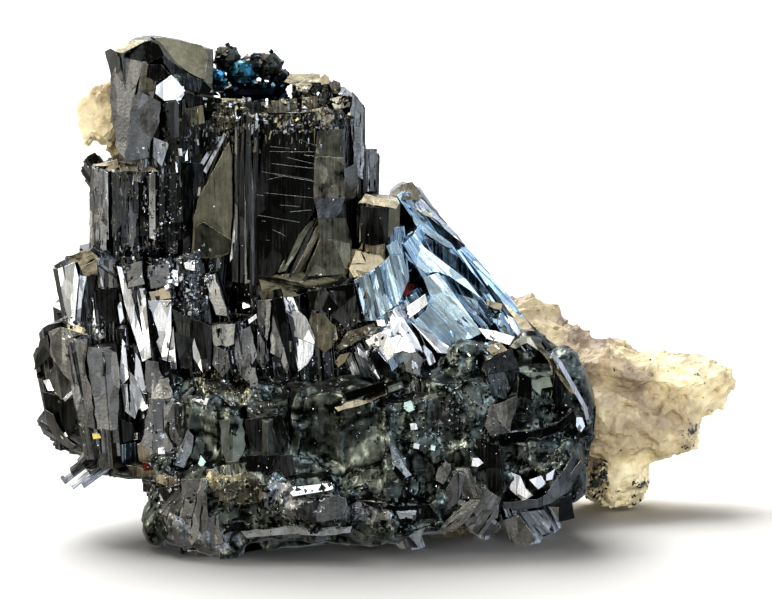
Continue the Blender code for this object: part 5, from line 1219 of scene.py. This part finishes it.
    ("band_b", "grown", 0.08, 0, 0, 6, (-1078, 2196, 138, 67, 154, -112, 33, -145)),
    ("band_c", "olive", 0.16, 0, 0, 7, (-946, 2341, 121, -11, 121, -134, 11, -168)),
    # left columns
    ("pillar_top", "stained", 0.31, 0, 50, 1, (-1606, 2001, 132, 27, 165, -6, 88, -40)),
    ("pillar_shelf", "stained", 0.19, 0, 40, 2, (-1474, 2017, 176, -22, 231, -56, 22, -56)),
    ("recess_black", "grown", 0, 0, 0, 1, (-1298, 1682, 165, 0, 165, -100, 0, -122)),
    ("recess_slot", "grown", 0, 0, 0, 1, (-1347, 1945, 38, -17, 49, -184, 38, -341, 0, -341)),
    ("lens_low", "olive", 0.12, 6, -8, 1, (-1045, 1660, 44, 22, 198, -78, 187, -145, 110, -173, -11, -173)),
    ("foot_ledge", "olive", 0.12, 0, 30, 4, (-704, 1381, 231, 22, 479, 6, 506, -28, 231, -78, 22, -89)),
    ("foot_left", "olive", 0.12, 0, 10, 3, (-704, 1292, 132, 22, 143, -39, 22, -45)),
    # fan
    ("fan_top", "stained", 0.15, -10, 30, 2, (-1760, 1493, 121, 33, 176, 0, 176, -106, 99, -112, 66, -34,
     -33, -56)),
    ("fan_slot", "grown", 0.04, 0, 0, 1, (-1650, 1381, 55, 0, 33, -134, 11, -78)),
    ("fan_ridge", "etched", 0.34, 0, 0, 4, (-1584, 1482, 77, -12, 110, -168, 0, -168)),
    ("fan_line_a", "cleavage", 0.9, 0, 5, 1, (-1479, 1225, 22, 11, 38, -78, 16, -112)),
    ("left_tan", "stained", 0.6, -20, 10, 1, (-1760, 1124, 99, -33, 121, -78, 22, -67)),
    ("left_patch", "etched", 0.3, -30, 0, 1, (-1875, 829, 82, 72, 137, -28, 148, -129, 82, -140)),
    ("left_black", "grown", 0.06, -30, -5, 1, (-1892, 734, 165, -45, 187, -145, 132, -268, 66, -246, 11,
     -112)),
    ("left_line_a", "cleavage", 0.9, -20, 0, 1, (-1782, 695, 66, 61, 71, 44, 11, -17)),
    ("left_curve", "etched", 0.38, -35, -15, 1, (-1881, 633, 44, -27, 88, -122, 165, -200, 143, -223, 66,
     -178, 11, -89)),
    ("col_grey", "steel", 0.5, 0, 0, 3, (-1463, 778, 55, 0, 99, -133, 77, -200, 22, -156)),
    ("col_black", "grown", 0.05, 0, 0, 1, (-1463, 578, 66, -23, 77, -112, 11, -134)),
    ("bit_white_a", "cleavage", 1, -10, 10, 1, (-1408, 499, 33, 6, 44, -33, 5, -39)),
    ("bit_white_b", "cleavage", 0.95, -10, 10, 1, (-1359, 645, 45, 16, 45, -6, 12, -23)),
    ("bit_white_c", "cleavage", 1, 0, 10, 1, (-1260, 416, 33, 5, 39, -34, 0, -34)),
    ("grey_block_low", "etched", 0.4, 0, 5, 2, (-1326, 912, 72, -11, 105, -134, 72, -212, 6, -178)),
    ("grey_slot", "grown", 0.02, 0, 0, 1, (-1254, 924, 66, -23, 77, -146, 33, -146)),
    ("foot_brown", "stained", 0.42, -10, 0, 2, (-1375, 438, 55, 28, 88, -39, 66, -117, 11, -95)),
    ("foot_ochre", "stained", 0.3, -10, -10, 1, (-1436, 321, 138, -22, 165, -67, 28, -67)),
    # middle
    ("mid_shelf", "olive", 0.19, 0, 30, 1, (-682, 1303, 121, 33, 209, -33, 0, -50)),
    ("mid_block", "etched", 0.45, -5, 0, 3, (-946, 996, 77, -39, 88, -128, 44, -184, -11, -111)),
    ("mid_slot", "grown", 0.02, 0, 0, 1, (-858, 968, 33, -123, 88, -195, 33, -190, -11, -111)),
    ("mid_ridge", "etched", 0.36, -5, 0, 4, (-709, 1080, 38, -67, 60, -168, 38, -235, -6, -168)),
    ("mid_white_a", "cleavage", 0.95, 0, 10, 1, (-792, 1230, 38, 17, 44, -22, 5, -33)),
    ("mid_white_b", "cleavage", 0.8, 0, 10, 1, (-759, 1136, 44, 33, 50, 11, 5, -23)),
    ("mid_black", "grown", 0, 0, 0, 1, (-638, 1247, 66, 6, 110, -251, 154, -402, 110, -435, 77, -279, 11,
     -67)),
    ("edge_tan", "olive", 0.4, -20, 10, 1, (-281, 901, 28, 39, 83, 56, 56, 0, 17, -33)),
    ("shell_a", "steel", 0.22, -10, 0, 4, (-242, 946, 55, 11, 110, -134, 44, -123)),
    ("shell_b", "steel", 0.22, 0, 0, 4, (-176, 957, 66, -33, 121, -145, 44, -145)),
    ("chip_a", "cleavage", 1, -6, 8, 1, (-55, 1136, 44, 0, 55, -34, 11, -34)),
    ("chip_b", "cleavage", 1, -6, 8, 1, (11, 1124, 44, 23, 66, -44, 33, -67)),
    ("chip_c", "cleavage", 0.95, -6, 8, 1, (-11, 1091, 44, -11, 33, -45, -6, -28)),
    ("slot_b", "grown", 0, 0, 0, 1, (-77, 991, 132, -146, 143, -213, 44, -146, -22, -56)),
    ("blue_foot", "tarnished", 0.35, 0, 10, 1, (11, 912, 66, 45, 93, 0, 22, -67)),
    ("rock_a", "etched", 0.3, 0, 15, 2, (88, 935, 77, 22, 121, -23, 99, -112, 22, -90)),
    ("rock_b", "cleavage", 0.8, 10, 10, 1, (209, 996, 44, -39, 66, -95, 33, -117, 0, -61)),
    ("rock_c", "steel", 0.6, 0, 10, 1, (143, 912, 33, -33, 33, -78, 0, -44)),
    # front
    ("crest_a", "olive", 0.12, -5, 35, 1, (-1034, 840, 99, 17, 132, -50, 55, -140, -11, -106)),
    ("crest_b", "olive", 0.16, 5, 20, 1, (-902, 773, 88, 28, 154, -39, 88, -128, 11, -95)),
    ("crest_c", "mossy", 0.03, 0, 25, 1, (-748, 773, 176, 28, 231, -61, 137, -140, 11, -128)),
    ("crest_d", "mossy", 0.1, 8, 40, 1, (-517, 840, 209, -28, 292, -123, 165, -162, 44, -106)),
    ("crest_e", "mossy", 0.12, 0, 40, 1, (-374, 795, 149, 50, 330, 39, 363, -17, 22, -117)),
    ("grey_left_a", "etched", 0.45, -15, 15, 1, (-1298, 801, 99, 11, 121, -101, 0, -112)),
    ("grey_left_b", "etched", 0.3, -5, 0, 4, (-1227, 578, 50, 89, 105, 100, 127, -28, 94, -168, 39, -112)),
    ("slab_a", "olive", 0.22, -5, 18, 1, (-979, 299, 149, 28, 297, -56, 297, -168, 93, -196, -17, -123)),
    ("slab_b", "etched", 0.48, 0, 25, 1, (-682, 220, 154, 34, 165, -89, 33, -122)),
    ("slab_c", "etched", 0.39, -25, 0, 4, (-1133, 243, 137, 0, 143, -279, 55, -380, -11, -223)),
    ("slab_d", "mossy", 0.21, -5, -5, 1, (-979, 87, 176, 11, 209, -123, 33, -146)),
    ("slab_e", "etched", 0.41, -8, 0, 2, (-990, 20, 55, 22, 88, -145, -22, -168)),
    ("slab_black", "grown", 0, 0, -30, 1, (-902, -14, 110, 17, 132, -22, 22, -45)),
    ("slab_f", "etched", 0.34, 0, 5, 1, (-611, 131, 138, 0, 160, -134, 6, -111)),
    ("slab_g", "etched", 0.44, 5, 14, 2, (-473, 120, 220, 22, 248, -100, 27, -128)),
    ("slab_h", "etched", 0.37, 8, -5, 2, (-253, 120, 286, -33, 297, -134, 33, -112)),
    ("slab_edge", "etched", 0.39, 0, 40, 1, (-803, -53, 330, 34, 616, 28, 605, -11, 330, -39, 33, -45)),
    ("nook", "grown", 0.02, 0, 10, 1, (-775, 377, 258, 0, 280, -112, 93, -134, 0, -78)),
    ("under_bar", "grown", 0, 0, -10, 1, (-225, 728, 214, 67, 236, 28, 5, -50)),
    ("green_spot", "mossy", 0.5, 0, 10, 1, (-77, 555, 66, -22, 44, -89, -22, -78)),
    ("rim_light", "etched", 0.55, 20, 10, 1, (22, 466, 33, -67, 121, -201, 77, -223, 11, -123)),
    ("boulder_top", "mossy", 0.15, 0, 35, 1, (-215, 232, 72, 67, 215, 122, 270, 78, 303, 11, 204, -23)),
    ("boulder_slot", "grown", 0, 0, 0, 1, (49, 321, 61, -67, 39, -89, -10, -34)),
    ("boulder_under", "grown", 0, 0, -30, 1, (-143, 120, 110, -11, 209, -33, 209, -56, 88, -45)),
    ("groove_low", "grown", 0.02, 10, -10, 1, (77, 87, 165, 11, 220, -67, 11, -79)),
    ("grain_a", "grown", 0.1, 0, 20, 1, (33, 778, 154, 34, 176, -66, 33, -100)),
    ("grain_b", "mossy", 0.05, 8, 15, 1, (209, 812, 154, 33, 209, -78, 33, -123)),
    ("grain_c", "mossy", 0.02, -8, 5, 1, (55, 622, 154, 23, 187, -111, 33, -145)),
    ("grain_d", "grown", 0.05, 10, 5, 1, (242, 667, 176, 22, 198, -134, 33, -168)),
    ("grain_e", "mossy", 0.08, -4, -5, 1, (88, 466, 99, 11, 121, -112, 11, -123)),
    ("glint_a", "cleavage", 0.95, 0, 10, 1, (132, 555, 33, 0, 44, -33, 6, -39)),
    ("glint_b", "cleavage", 1, 0, 10, 1, (154, 444, 33, -6, 27, -34, -5, -28)),
    ("glint_c", "mint", 0.9, 0, 10, 1, (248, 433, 27, -6, 21, -34, 0, -28)),
    ("blade_a", "etched", 0.42, -10, 0, 2, (286, 299, 44, 44, 77, 0, 33, -90, -11, -67)),
    ("blade_b", "etched", 0.34, 0, -5, 2, (330, 187, 66, 100, 110, 78, 66, -84, 11, -123)),
    ("blade_c", "mossy", 0.21, -5, -10, 1, (242, 103, 88, 28, 176, 0, 137, -83, 33, -106)),
    ("blade_d", "etched", 0.42, -10, 5, 4, (297, -25, 165, 145, 231, 156, 165, 45, 66, -34)),
    ("blade_e", "etched", 0.36, 0, 0, 4, (462, 131, 77, 67, 176, 0, 154, -111, 44, -156)),
    ("blade_f", "etched", 0.3, -15, 0, 4, (363, 287, 99, 12, 176, -156, 66, -156)),
    ("shell_low", "etched", 0.42, 0, -10, 5, (451, -25, 110, 45, 187, -22, 110, -56, 44, -45)),
    ("dome_a", "grown", 0.04, 10, 20, 1, (539, 901, 154, 78, 198, -44, 115, -212, 33, -184)),
    ("dome_gold", "stained", 0.37, 0, 40, 2, (539, 991, 88, 22, 132, -23, 55, -56)),
    ("green_glow", "mossy", 0.18, 0, 10, 1, (429, 767, 99, 11, 110, -100, 22, -111)),
    ("dark_h", "grown", 0, 0, 0, 1, (737, 845, 66, -33, 66, -156, -11, -133)),
    ("dark_i", "grown", 0, 20, 0, 1, (935, 845, 55, -100, 22, -212, -22, -145)),
    ("corner_grey", "mossy", 0.22, 30, 5, 1, (968, 555, 121, -122, 99, -256, 33, -212, -11, -89)),
    ("corner_sweep", "etched", 0.45, 35, -5, 1, (891, 165, 99, 134, 154, 234, 187, 178, 121, 55, 44, -34)),
    ("corner_foot", "grown", 0.1, 30, -20, 1, (957, 131, 66, 23, 88, -111, 0, -134)),
    ("dark_j", "grown", 0.02, -10, 0, 1, (495, 466, 132, -33, 154, -167, 22, -156)),
    ("dark_k", "grown", 0.03, -10, 0, 1, (550, 299, 77, 11, 110, -90, 33, -168)),
    ("side_ochre", "stained", 0.3, -15, 0, 2, (-1287, 265, 132, -11, 132, -56, 88, -78, 22, -45)),
    ("side_dark", "grown", 0.1, -20, 0, 1, (-1265, 187, 121, 22, 132, -56, 50, -84)),
    ("side_blades", "etched", 0.45, -20, 0, 5, (-1243, 92, 99, 106, 121, 11, 66, -84, 0, -50)),
    ("pillar_face", "etched", 0.46, -12, 0, 3, (-1611, 1984, 82, -11, 76, -458, -12, -491, -17, -179)),
    ("pillar_mid", "etched", 0.3, 8, 0, 3, (-1452, 1939, 99, 11, 93, -390, 11, -402)),
    ("pillar_edge", "steel", 0.42, -20, 0, 1, (-1298, 1950, 33, 0, 33, -368, 0, -357)),
    ("toe_low", "etched", 0.3, 0, 0, 1, (-1287, 131, 154, 0, 291, -111, 484, -234, 291, -335, 72, -256)),
    # a light strip along the corner's right outline: painted rim highlight
    ("corner_line", "cleavage", 0.75, 55, 5, 1, (919, 957, 49, -56, 192, -312, 209, -402, 192, -407, 170,
     -318, 27, -67, -12, -17)),
)


for look in crystalFinishes.values():
    crystalMaterial(look)
rng = random.Random(4)
wornMark = growWornMass()
for row, habit in crystalRowsWithLooks():
    growCrystal(row, habit, rng)
print("crystals grown:", len(made), "solids")
base = joinStock("base")
print("base joined:", len(base.data.polygons), "faces")
surface = BVHTree.FromObject(base, bpy.context.evaluated_depsgraph_get())
firstFacet = len(made)
for row in facetRows:
    if not isPainted(*row[:2]):
        layFacet(row, surface, rng)
print("facets laid:", len(made), "solids")
restock(base)
base = joinStock("base")
surface = BVHTree.FromObject(base, bpy.context.evaluated_depsgraph_get())
mark = base.data.attributes["crystal"].data
for seed, patch in enumerate(crumbPatches):
    strewCrumbs(patch, surface, seed, mark, firstFacet)
for row in scratches:
    scratchFace(row, surface)
restock(base)
cluster = joinStock("pyrargyriteCrystals")
trimToBox(cluster)
dropLoose(cluster.data)


paintStyle = dict(deepest=3.0, ragged=0.25, chip=0.5)     # millimetres, and the share of a chip's own tone


def paintPatches(data, mark, faceFinish, faceTone):
    # the worn mass has a tone for each chip, and takes the finish and tone of the patches that lie on it
    centres = readRows(data.polygons, "center")
    under = np.flatnonzero((mark < firstFacet) & (centres[:, 1] < paintStyle["deepest"]))
    hearts = centres[under]
    _, nearest, leans, lifts = cellsOf(hearts, wornMass["splinter"], wornMass["seed"] + 5)
    faceTone[mark == wornMark] = made[wornMark][2]
    chip = lifts[nearest] * wornMass["chipTone"]
    faceTone[under] += np.where(mark[under] == wornMark, chip, 0)
    ways = hearts - np.array(eye)
    seen = np.array(eye) - ways * (eye.y / ways[:, 1])[:, None] + leans[nearest] * paintStyle["ragged"]
    seen = seen[:, [0, 2]]
    for name, finish, tone, _, _, _, outline in facetRows:
        if not isPainted(name, finish):
            continue
        inside = np.zeros(len(seen), bool)
        around = corners(outline)
        for (x0, z0), (x1, z1) in zip(around, around[1:] + around[:1]):
            crosses = (z0 > seen[:, 1]) != (z1 > seen[:, 1])
            inside ^= crosses & (seen[:, 0] < x0 + (seen[:, 1] - z0) * (x1 - x0) / ((z1 - z0) or 1e-9))
        faceFinish[under[inside]] = finishOrder.index(finish)
        faceTone[under[inside]] = tone + chip[inside] * paintStyle["chip"]
    data.polygons.foreach_set("use_smooth", mark == wornMark)


finishJoined(cluster, paintPatches)
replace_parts(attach(cluster, "root"), "pyrargyrite_cluster")
print("cluster:", len(cluster.data.polygons), "faces")


# carbonate matrix: calcite grown as sugary grains, cream, stained brown by iron and speckled with ore.
# Grain and spacing are in millimetres. It is soft to the eye, as light goes a little way into it.
matrixLook = dict(grainSize=0.18, bumps=((2.4, 0.5), (1.1, 0.3)), lift=-0.10, grain=0.5, grainStep=0.08,
                  grainTilt=0.24, pale="#e2d5ae", deep="#b8a780", brown="#82705a", rust="#5d5442",
                  speck="#23271c", roughness=0.62, relief=0.06, glow=0.25, glowDepth=0.6,
                  waves=((3.2, 4.0), (0.35, 2.0), (0.9, 3.0)),    # stains, grains, specks: size and detail
                  ledge=(0.0115, 0, 0.0105))                      # where it is brownest: iron stain and painted shade, in metres
# how high the right end stands, from left to right, as seen from the eye
matrixCrest = ((4.6, 13), (6.5, 12.2), (7.1, 12.5), (8.2, 12.6), (9.6, 11.8), (11.8, 11), (12.5, 10.4),
               (14, 9.6), (15.6, 9.4), (18.4, 9.1), (19.6, 8.8))
# where ore shines through, and how far: across, up and radius in metres
oreStains = ((0.0114, 0.0022, 0.0012), (0.0141, 0.0014, 0.0009), (0.0168, 0.0046, 0.0007))


# grains of the dark ore in the calcite
orePatches = (
    ("ore_low", 170, 1, (10.9, 12.2), (0.6, 3.6), None, (0.05, 0.16), ("grown", "mossy"), (0.05, 0.3)),
    ("ore_leg", 110, 1, (13.6, 14.8), (0.2, 2.4), None, (0.05, 0.16), ("grown", "mossy"), (0.05, 0.3)),
    ("ore_right", 24, 1, (16.3, 17.3), (4.0, 5.2), None, (0.05, 0.14), ("grown", "olive"), (0.1, 0.4)),
    ("ore_left", 60, 1, (-17.4, -15.2), (17.6, 20.6), None, (0.10, 0.30), ("grown", "olive"), (0.1, 0.4)),
    ("ore_loose", 20, 1, (8.0, 19.0), (1.5, 11.0), None, (0.05, 0.14), ("grown", "olive"), (0.1, 0.4)),
)


def fitCrest(data):
    # stretches the right end upwards or downwards until its outline follows the crest
    spots = readRows(data.vertices, "co")
    seen = spots[:, 2] * math.cos(rise) + spots[:, 1] * math.sin(rise)
    across, crest = np.array(matrixCrest).T
    places = np.arange(across[0], across[-1], 0.3)
    tops = np.array([seen[abs(spots[:, 0] - place) < 0.4].max() for place in places])
    tops = np.convolve(np.pad(tops, 2, "edge"), np.full(5, 0.2), "valid")
    grow = np.interp(spots[:, 0], places, np.interp(places, across, crest) / tops)
    share = np.clip(seen / np.interp(spots[:, 0], places, tops), 0, 1) ** 2
    share *= np.clip((spots[:, 0] - across[0]) / 1.5, 0, 1)
    spots[:, 2] *= 1 + (grow - 1) * share
    data.vertices.foreach_set("co", spots.ravel())
    data.update()


def growMatrix():
    source = frame["nodes"]["matrix"]
    look = matrixLook
    data = source.data.copy()
    thing = bpy.data.objects.new("calciteMatrix", data)
    sceneObjects.link(thing)
    data.transform(Matrix.Translation(middle) @ Matrix.Scale(1 / mm, 4) @ source.matrix_world)
    applyTo(thing, "REMESH", mode="VOXEL", voxel_size=look["grainSize"])
    applyTo(thing, "SMOOTH", factor=0.5, iterations=6)
    data = thing.data
    for vert, way in zip(data.vertices, readRows(data.vertices, "normal")):
        vert.co += Vector(way) * sum(height * (noise.noise(vert.co / spacing) + look["lift"])
                                     for spacing, height in look["bumps"])
    data.update()
    breakUp(data, look["grain"] * 2, look["grainStep"] * 2, look["grainTilt"], 21)
    breakUp(data, look["grain"], look["grainStep"], look["grainTilt"], 22)
    fitCrest(data)
    low, high = (Vector(corner) / mm + middle for corner in cadBox)
    for vert in data.vertices:
        vert.co = [min(max(value, least), most) for value, least, most in zip(vert.co, low, high)]
    for seed, patch in enumerate(orePatches):
        strewCrumbs(patch, BVHTree.FromObject(thing, bpy.context.evaluated_depsgraph_get()), 100 + seed)
    data.transform(Matrix.Scale(mm, 4) @ Matrix.Translation(-middle))
    return thing


def matrixMaterial():
    look = matrixLook
    material = newMaterial("calciteSugary")
    tree = material.node_tree
    place = addNode(tree, "ShaderNodeTexCoord").outputs["Object"]
    waves = []
    for spacing, detail in look["waves"]:
        space = addNode(tree, "ShaderNodeMapping", {"Scale": (1000 / spacing,) * 3}, {"Vector": place})
        waves.append(addNode(tree, "ShaderNodeTexNoise", {"Scale": 1.0, "Detail": detail, "Roughness": 0.65},
                             {"Vector": space}))
    stains, grains, specks = waves
    flat = addNode(tree, "ShaderNodeVectorMath", {"operation": "MULTIPLY", 1: (1, 0, 1)}, {0: place})
    # browner and darker towards the upper ledge: partly iron stain, partly painted shade
    away = addNode(tree, "ShaderNodeVectorMath", {"operation": "DISTANCE", 1: look["ledge"]}, {0: flat})
    upper = addNode(tree, "ShaderNodeMapRange",
                    {"From Min": 0.009, "From Max": 0.001, "To Min": -0.03, "To Max": 0.20},
                    {"Value": away.outputs["Value"]})
    stainAndShade = addNode(tree, "ShaderNodeMath", {"operation": "ADD"}, {0: stains, 1: upper})
    layers = [(stainAndShade, 0.38, 0.58, "deep"), (stainAndShade, 0.52, 0.72, "brown"), (specks, 0.64, 0.74, "rust")]
    for x, z, radius in oreStains:      # ore that shines through around its grains
        away = addNode(tree, "ShaderNodeVectorMath", {"operation": "DISTANCE", 1: (x, 0, z)}, {0: flat})
        near = addNode(tree, "ShaderNodeMapRange", {"From Min": radius, "From Max": 0.0, "To Max": 0.32},
                       {"Value": away.outputs["Value"]})
        near = addNode(tree, "ShaderNodeMath", {"operation": "ADD"}, {0: near, 1: specks})
        layers.append((near, 0.68, 0.76, "speck"))
    colour = None
    for source, low, high, name in layers:
        share = addNode(tree, "ShaderNodeMapRange", {"From Min": low, "From Max": high}, {"Value": source})
        settings = {"data_type": "RGBA", 6: linear(look["pale"]), 7: linear(look[name])}
        links = {0: share, 6: colour} if colour else {0: share}
        colour = addNode(tree, "ShaderNodeMix", settings, links).outputs[2]
    relief = addNode(tree, "ShaderNodeBump", {"Strength": 0.7, "Distance": look["relief"] * mm},
                     {"Height": grains})
    shader = addNode(tree, "ShaderNodeBsdfPrincipled",
                     {"Roughness": look["roughness"], "IOR": 1.6, "Subsurface Weight": look["glow"],
                      "Subsurface Radius": (1.0, 0.8, 0.5), "Subsurface Scale": look["glowDepth"] * mm},
                     {"Base Color": colour, "Normal": relief})
    addNode(tree, "ShaderNodeOutputMaterial", links={"Surface": shader})
    return material


stone = growMatrix()
stone.data.materials.clear()
stone.data.materials.append(matrixMaterial())
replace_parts(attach(stone, "root"), "matrix")
specks = joinStock("oreGrains")
finishJoined(specks)
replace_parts(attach(specks, "root"), "matrix")
print("matrix:", len(stone.data.polygons), "faces")


# tarnished crust: small rhombs of a silver ore, grown over knobs, whose thin film shines black, blue, teal
# or purple with its thickness. It is a mirror, so only the film's colour tells the rhombs apart.
crustLook = dict(rhombs=330, size=(0.08, 0.30), sides=(0.7, 1.1), knob=0.42, seat=0.40, roughness=0.22,
                 seed=7,
                 film=((0.0, "#3a3a34"), (0.12, "#1c1a16"), (0.2, "#05060a"), (0.32, "#0b1222"),
                       (0.46, "#27505f"), (0.6, "#34707f"), (0.72, "#1c3f4e"), (0.85, "#221a33"),
                       (0.95, "#4fb4cc")))     # tone of a rhomb and the colour that its film has
crustKnobs = (  # centre, size, the tones that its rhombs take from the film's colours
    ((-8.8, 3.4, 25.4), (1.7, 1.6, 1.9), (0.0, 0.08, 0.12)),
    ((-8.0, 3.0, 24.6), (2.0, 1.8, 1.9), (0.45, 0.6, 0.7, 0.2)),
    ((-9.3, 2.6, 24.3), (1.3, 1.4, 1.6), (0.45, 0.5, 0.3)),
    ((-7.4, 3.4, 25.0), (1.9, 1.7, 1.6), (0.1, 0.3, 0.7)),
    ((-6.5, 3.6, 25.0), (1.8, 1.7, 1.9), (0.0, 0.08, 0.12, 0.85)),
    ((-5.9, 3.8, 24.2), (1.5, 1.9, 1.5), (0.2, 0.85, 0.0)),
    ((-7.4, 3.6, 23.5), (4.6, 2.6, 1.6), (0.2, 0.3, 0.85, 0.95)),
)


def growCrust():
    rng = random.Random(crustLook["seed"])
    for centre, size, tones in crustKnobs:
        mesh = bmesh.new()
        bmesh.ops.create_icosphere(mesh, subdivisions=2, radius=crustLook["knob"])
        bmesh.ops.scale(mesh, vec=size, verts=mesh.verts)
        stockSolid(*pointsAndFaces(mesh), Matrix.Translation(centre), "grown", tones[0])
        for _ in range(crustLook["rhombs"] // len(crustKnobs)):
            way = Vector([rng.gauss(0, 1) for _ in range(3)]).normalized()
            edge = rng.uniform(*crustLook["size"])
            turn = Matrix.Rotation(rng.uniform(0, 6.28), 3, Vector([rng.gauss(0, 1) for _ in range(3)]))
            a, b, c = (turn @ Vector(side) * edge * rng.uniform(*crustLook["sides"])
                       for side in ((1, 0, 0), (0.2, 1, 0), (0.2, 0.2, 1)))
            seat = Vector(part * reach * crustLook["seat"] for part, reach in zip(way, size))
            spot = Vector(centre) + seat - (a + b + c) / 2
            tone = rng.choice(tones) + rng.uniform(-0.04, 0.04)
            stockSolid(boxPoints(a, b, c), boxFaces, Matrix.Translation(spot), "grown", tone)
    return joinStock("blueTarnishedCrust")


def crustMaterial():
    material = newMaterial("silverOreIridescentFilm")
    tree = material.node_tree
    tone = addNode(tree, "ShaderNodeAttribute", {"attribute_name": "tone"})
    colour = addNode(tree, "ShaderNodeValToRGB", links={"Fac": tone.outputs["Fac"]})
    ramp = colour.color_ramp
    for place, code in crustLook["film"]:
        stop = ramp.elements.new(place) if place else ramp.elements[0]
        stop.color = linear(code)
    shader = addNode(tree, "ShaderNodeBsdfPrincipled", {"Metallic": 1.0, "Roughness": crustLook["roughness"]},
                     {"Base Color": colour})
    addNode(tree, "ShaderNodeOutputMaterial", links={"Surface": shader})
    return material


crust = growCrust()
finishJoined(crust)
crust.data.materials.clear()
crust.data.materials.append(crustMaterial())
crust.data.polygons.foreach_set("material_index", [0] * len(crust.data.polygons))
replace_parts(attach(crust, "root"), "blue_tarnished_crust")
print("crust:", len(crust.data.polygons), "faces")


# floor, light and camera
# metres; what shiny faces see of the room is brighter above than below, and cooler at the right; the rest
# of the light that it gives is weak
studio = dict(paper="#f7f5f1", roughness=0.9, width=6.0, aim=(0, 0, 0.012), dark=0.13, glow=(0.42, 1.40),
              sides=("#fffaf2", "#dbe8ff"))


def makeFloor():
    mesh = bmesh.new()
    bmesh.ops.create_grid(mesh, x_segments=1, y_segments=1, size=studio["width"] / 2)
    data = bpy.data.meshes.new("studioFloor")
    mesh.to_mesh(data)
    mesh.free()
    floor = bpy.data.objects.new("studioFloor", data)
    sceneObjects.link(floor)
    # drawing paper, pressed: matt, so it gives the eye no shine, only soft shadows
    material = newMaterial("paperMatt")
    tree = material.node_tree
    shader = addNode(tree, "ShaderNodeBsdfPrincipled",
                     {"Base Color": linear(studio["paper"]), "Roughness": studio["roughness"]})
    addNode(tree, "ShaderNodeOutputMaterial", links={"Surface": shader})
    data.materials.append(material)
    floor.visible_glossy = False    # black faces stay black: they look past the paper into the dark room
    return floor


softboxes = {   # place and what it points at in metres, size, power in watts, colour
    "backKey": dict(place=(-0.12, 0.24, 0.33), size=(0.32, 0.26), power=3.0, colour="#ffffff"),
    "overhead": dict(place=(-0.10, 0.08, 0.34), size=(0.26, 0.20), power=0.30, colour="#ffffff"),
    "frontFill": dict(place=(0.06, -0.34, 0.16), size=(0.30, 0.20), power=1.4, colour="#fffdf8"),
    "leftKey": dict(place=(-0.24, -0.16, 0.20), size=(0.12, 0.16), power=0.55, colour="#fffdf8"),
    "leftStrip": dict(place=(-0.12, -0.30, 0.10), size=(0.04, 0.22), power=0.10, colour="#fffdf8"),
    "rightStrip": dict(place=(0.20, -0.24, 0.12), size=(0.05, 0.22), power=0.12, colour="#dbe9ff"),
    "rightSky": dict(place=(0.26, -0.06, 0.24), size=(0.16, 0.16), power=0.50, colour="#c4dcff"),
}


def makeLights(paper):
    aim = Vector(studio["aim"])
    offPaper = bpy.data.collections.new("offPaper")
    offPaper.objects.link(paper)
    offPaper.collection_objects[0].light_linking.link_state = "EXCLUDE"
    for name, box in softboxes.items():
        data = bpy.data.lights.new(name, "AREA")
        data.shape = "RECTANGLE"
        data.size, data.size_y = box["size"]
        data.energy = box["power"]
        data.color = linear(box["colour"])[:3]
        lamp = bpy.data.objects.new(name, data)
        lamp.location = box["place"]
        lamp.rotation_euler = (aim - Vector(box["place"])).to_track_quat("-Z", "Y").to_euler()
        sceneObjects.link(lamp)
        if name not in ("backKey", "overhead"):     # only the two high lamps throw shadows on the paper
            lamp.light_linking.receiver_collection = offPaper
        lamp.visible_glossy = name != "frontFill"


def makeWorld():
    world = bpy.data.worlds.new("studioAir")
    bpy.context.scene.world = world
    world.use_nodes = True
    tree = world.node_tree
    tree.nodes.clear()
    rays = addNode(tree, "ShaderNodeLightPath")
    place = addNode(tree, "ShaderNodeTexCoord")
    split = addNode(tree, "ShaderNodeSeparateXYZ", links={0: place.outputs["Generated"]})
    low, high = studio["glow"]
    height = addNode(tree, "ShaderNodeMapRange",
                     {"From Min": -0.35, "From Max": 0.35, "To Min": low, "To Max": high},
                     {"Value": split.outputs["Z"]})
    side = addNode(tree, "ShaderNodeMapRange", {"From Min": -0.5, "From Max": 0.5},
                   {"Value": split.outputs["X"]})
    warm, cool = (linear(code) for code in studio["sides"])
    colour = addNode(tree, "ShaderNodeMix", {"data_type": "RGBA", 6: warm, 7: cool}, {0: side})
    room = addNode(tree, "ShaderNodeBackground", links={"Color": colour.outputs[2], "Strength": height})
    dim = addNode(tree, "ShaderNodeBackground", {"Color": linear("#ffffff"), "Strength": studio["dark"]})
    both = addNode(tree, "ShaderNodeMixShader", links={0: rays.outputs["Is Glossy Ray"], 1: dim, 2: room})
    addNode(tree, "ShaderNodeOutputWorld", links={"Surface": both})


def makeCamera():
    data = bpy.data.cameras.new("camera")
    data.sensor_width = 36.0
    data.lens = data.sensor_width * viewDistance / viewWidth
    data.clip_start, data.clip_end = 0.01, 10
    camera = bpy.data.objects.new("camera", data)
    camera.location = (eye - middle) * mm
    camera.rotation_euler = (viewTarget - eye).to_track_quat("-Z", "Y").to_euler()
    sceneObjects.link(camera)
    bpy.context.scene.camera = camera


makeLights(makeFloor())
makeWorld()
makeCamera()
bpy.context.scene.view_settings.view_transform = "Standard"

bpy.context.view_layer.update()
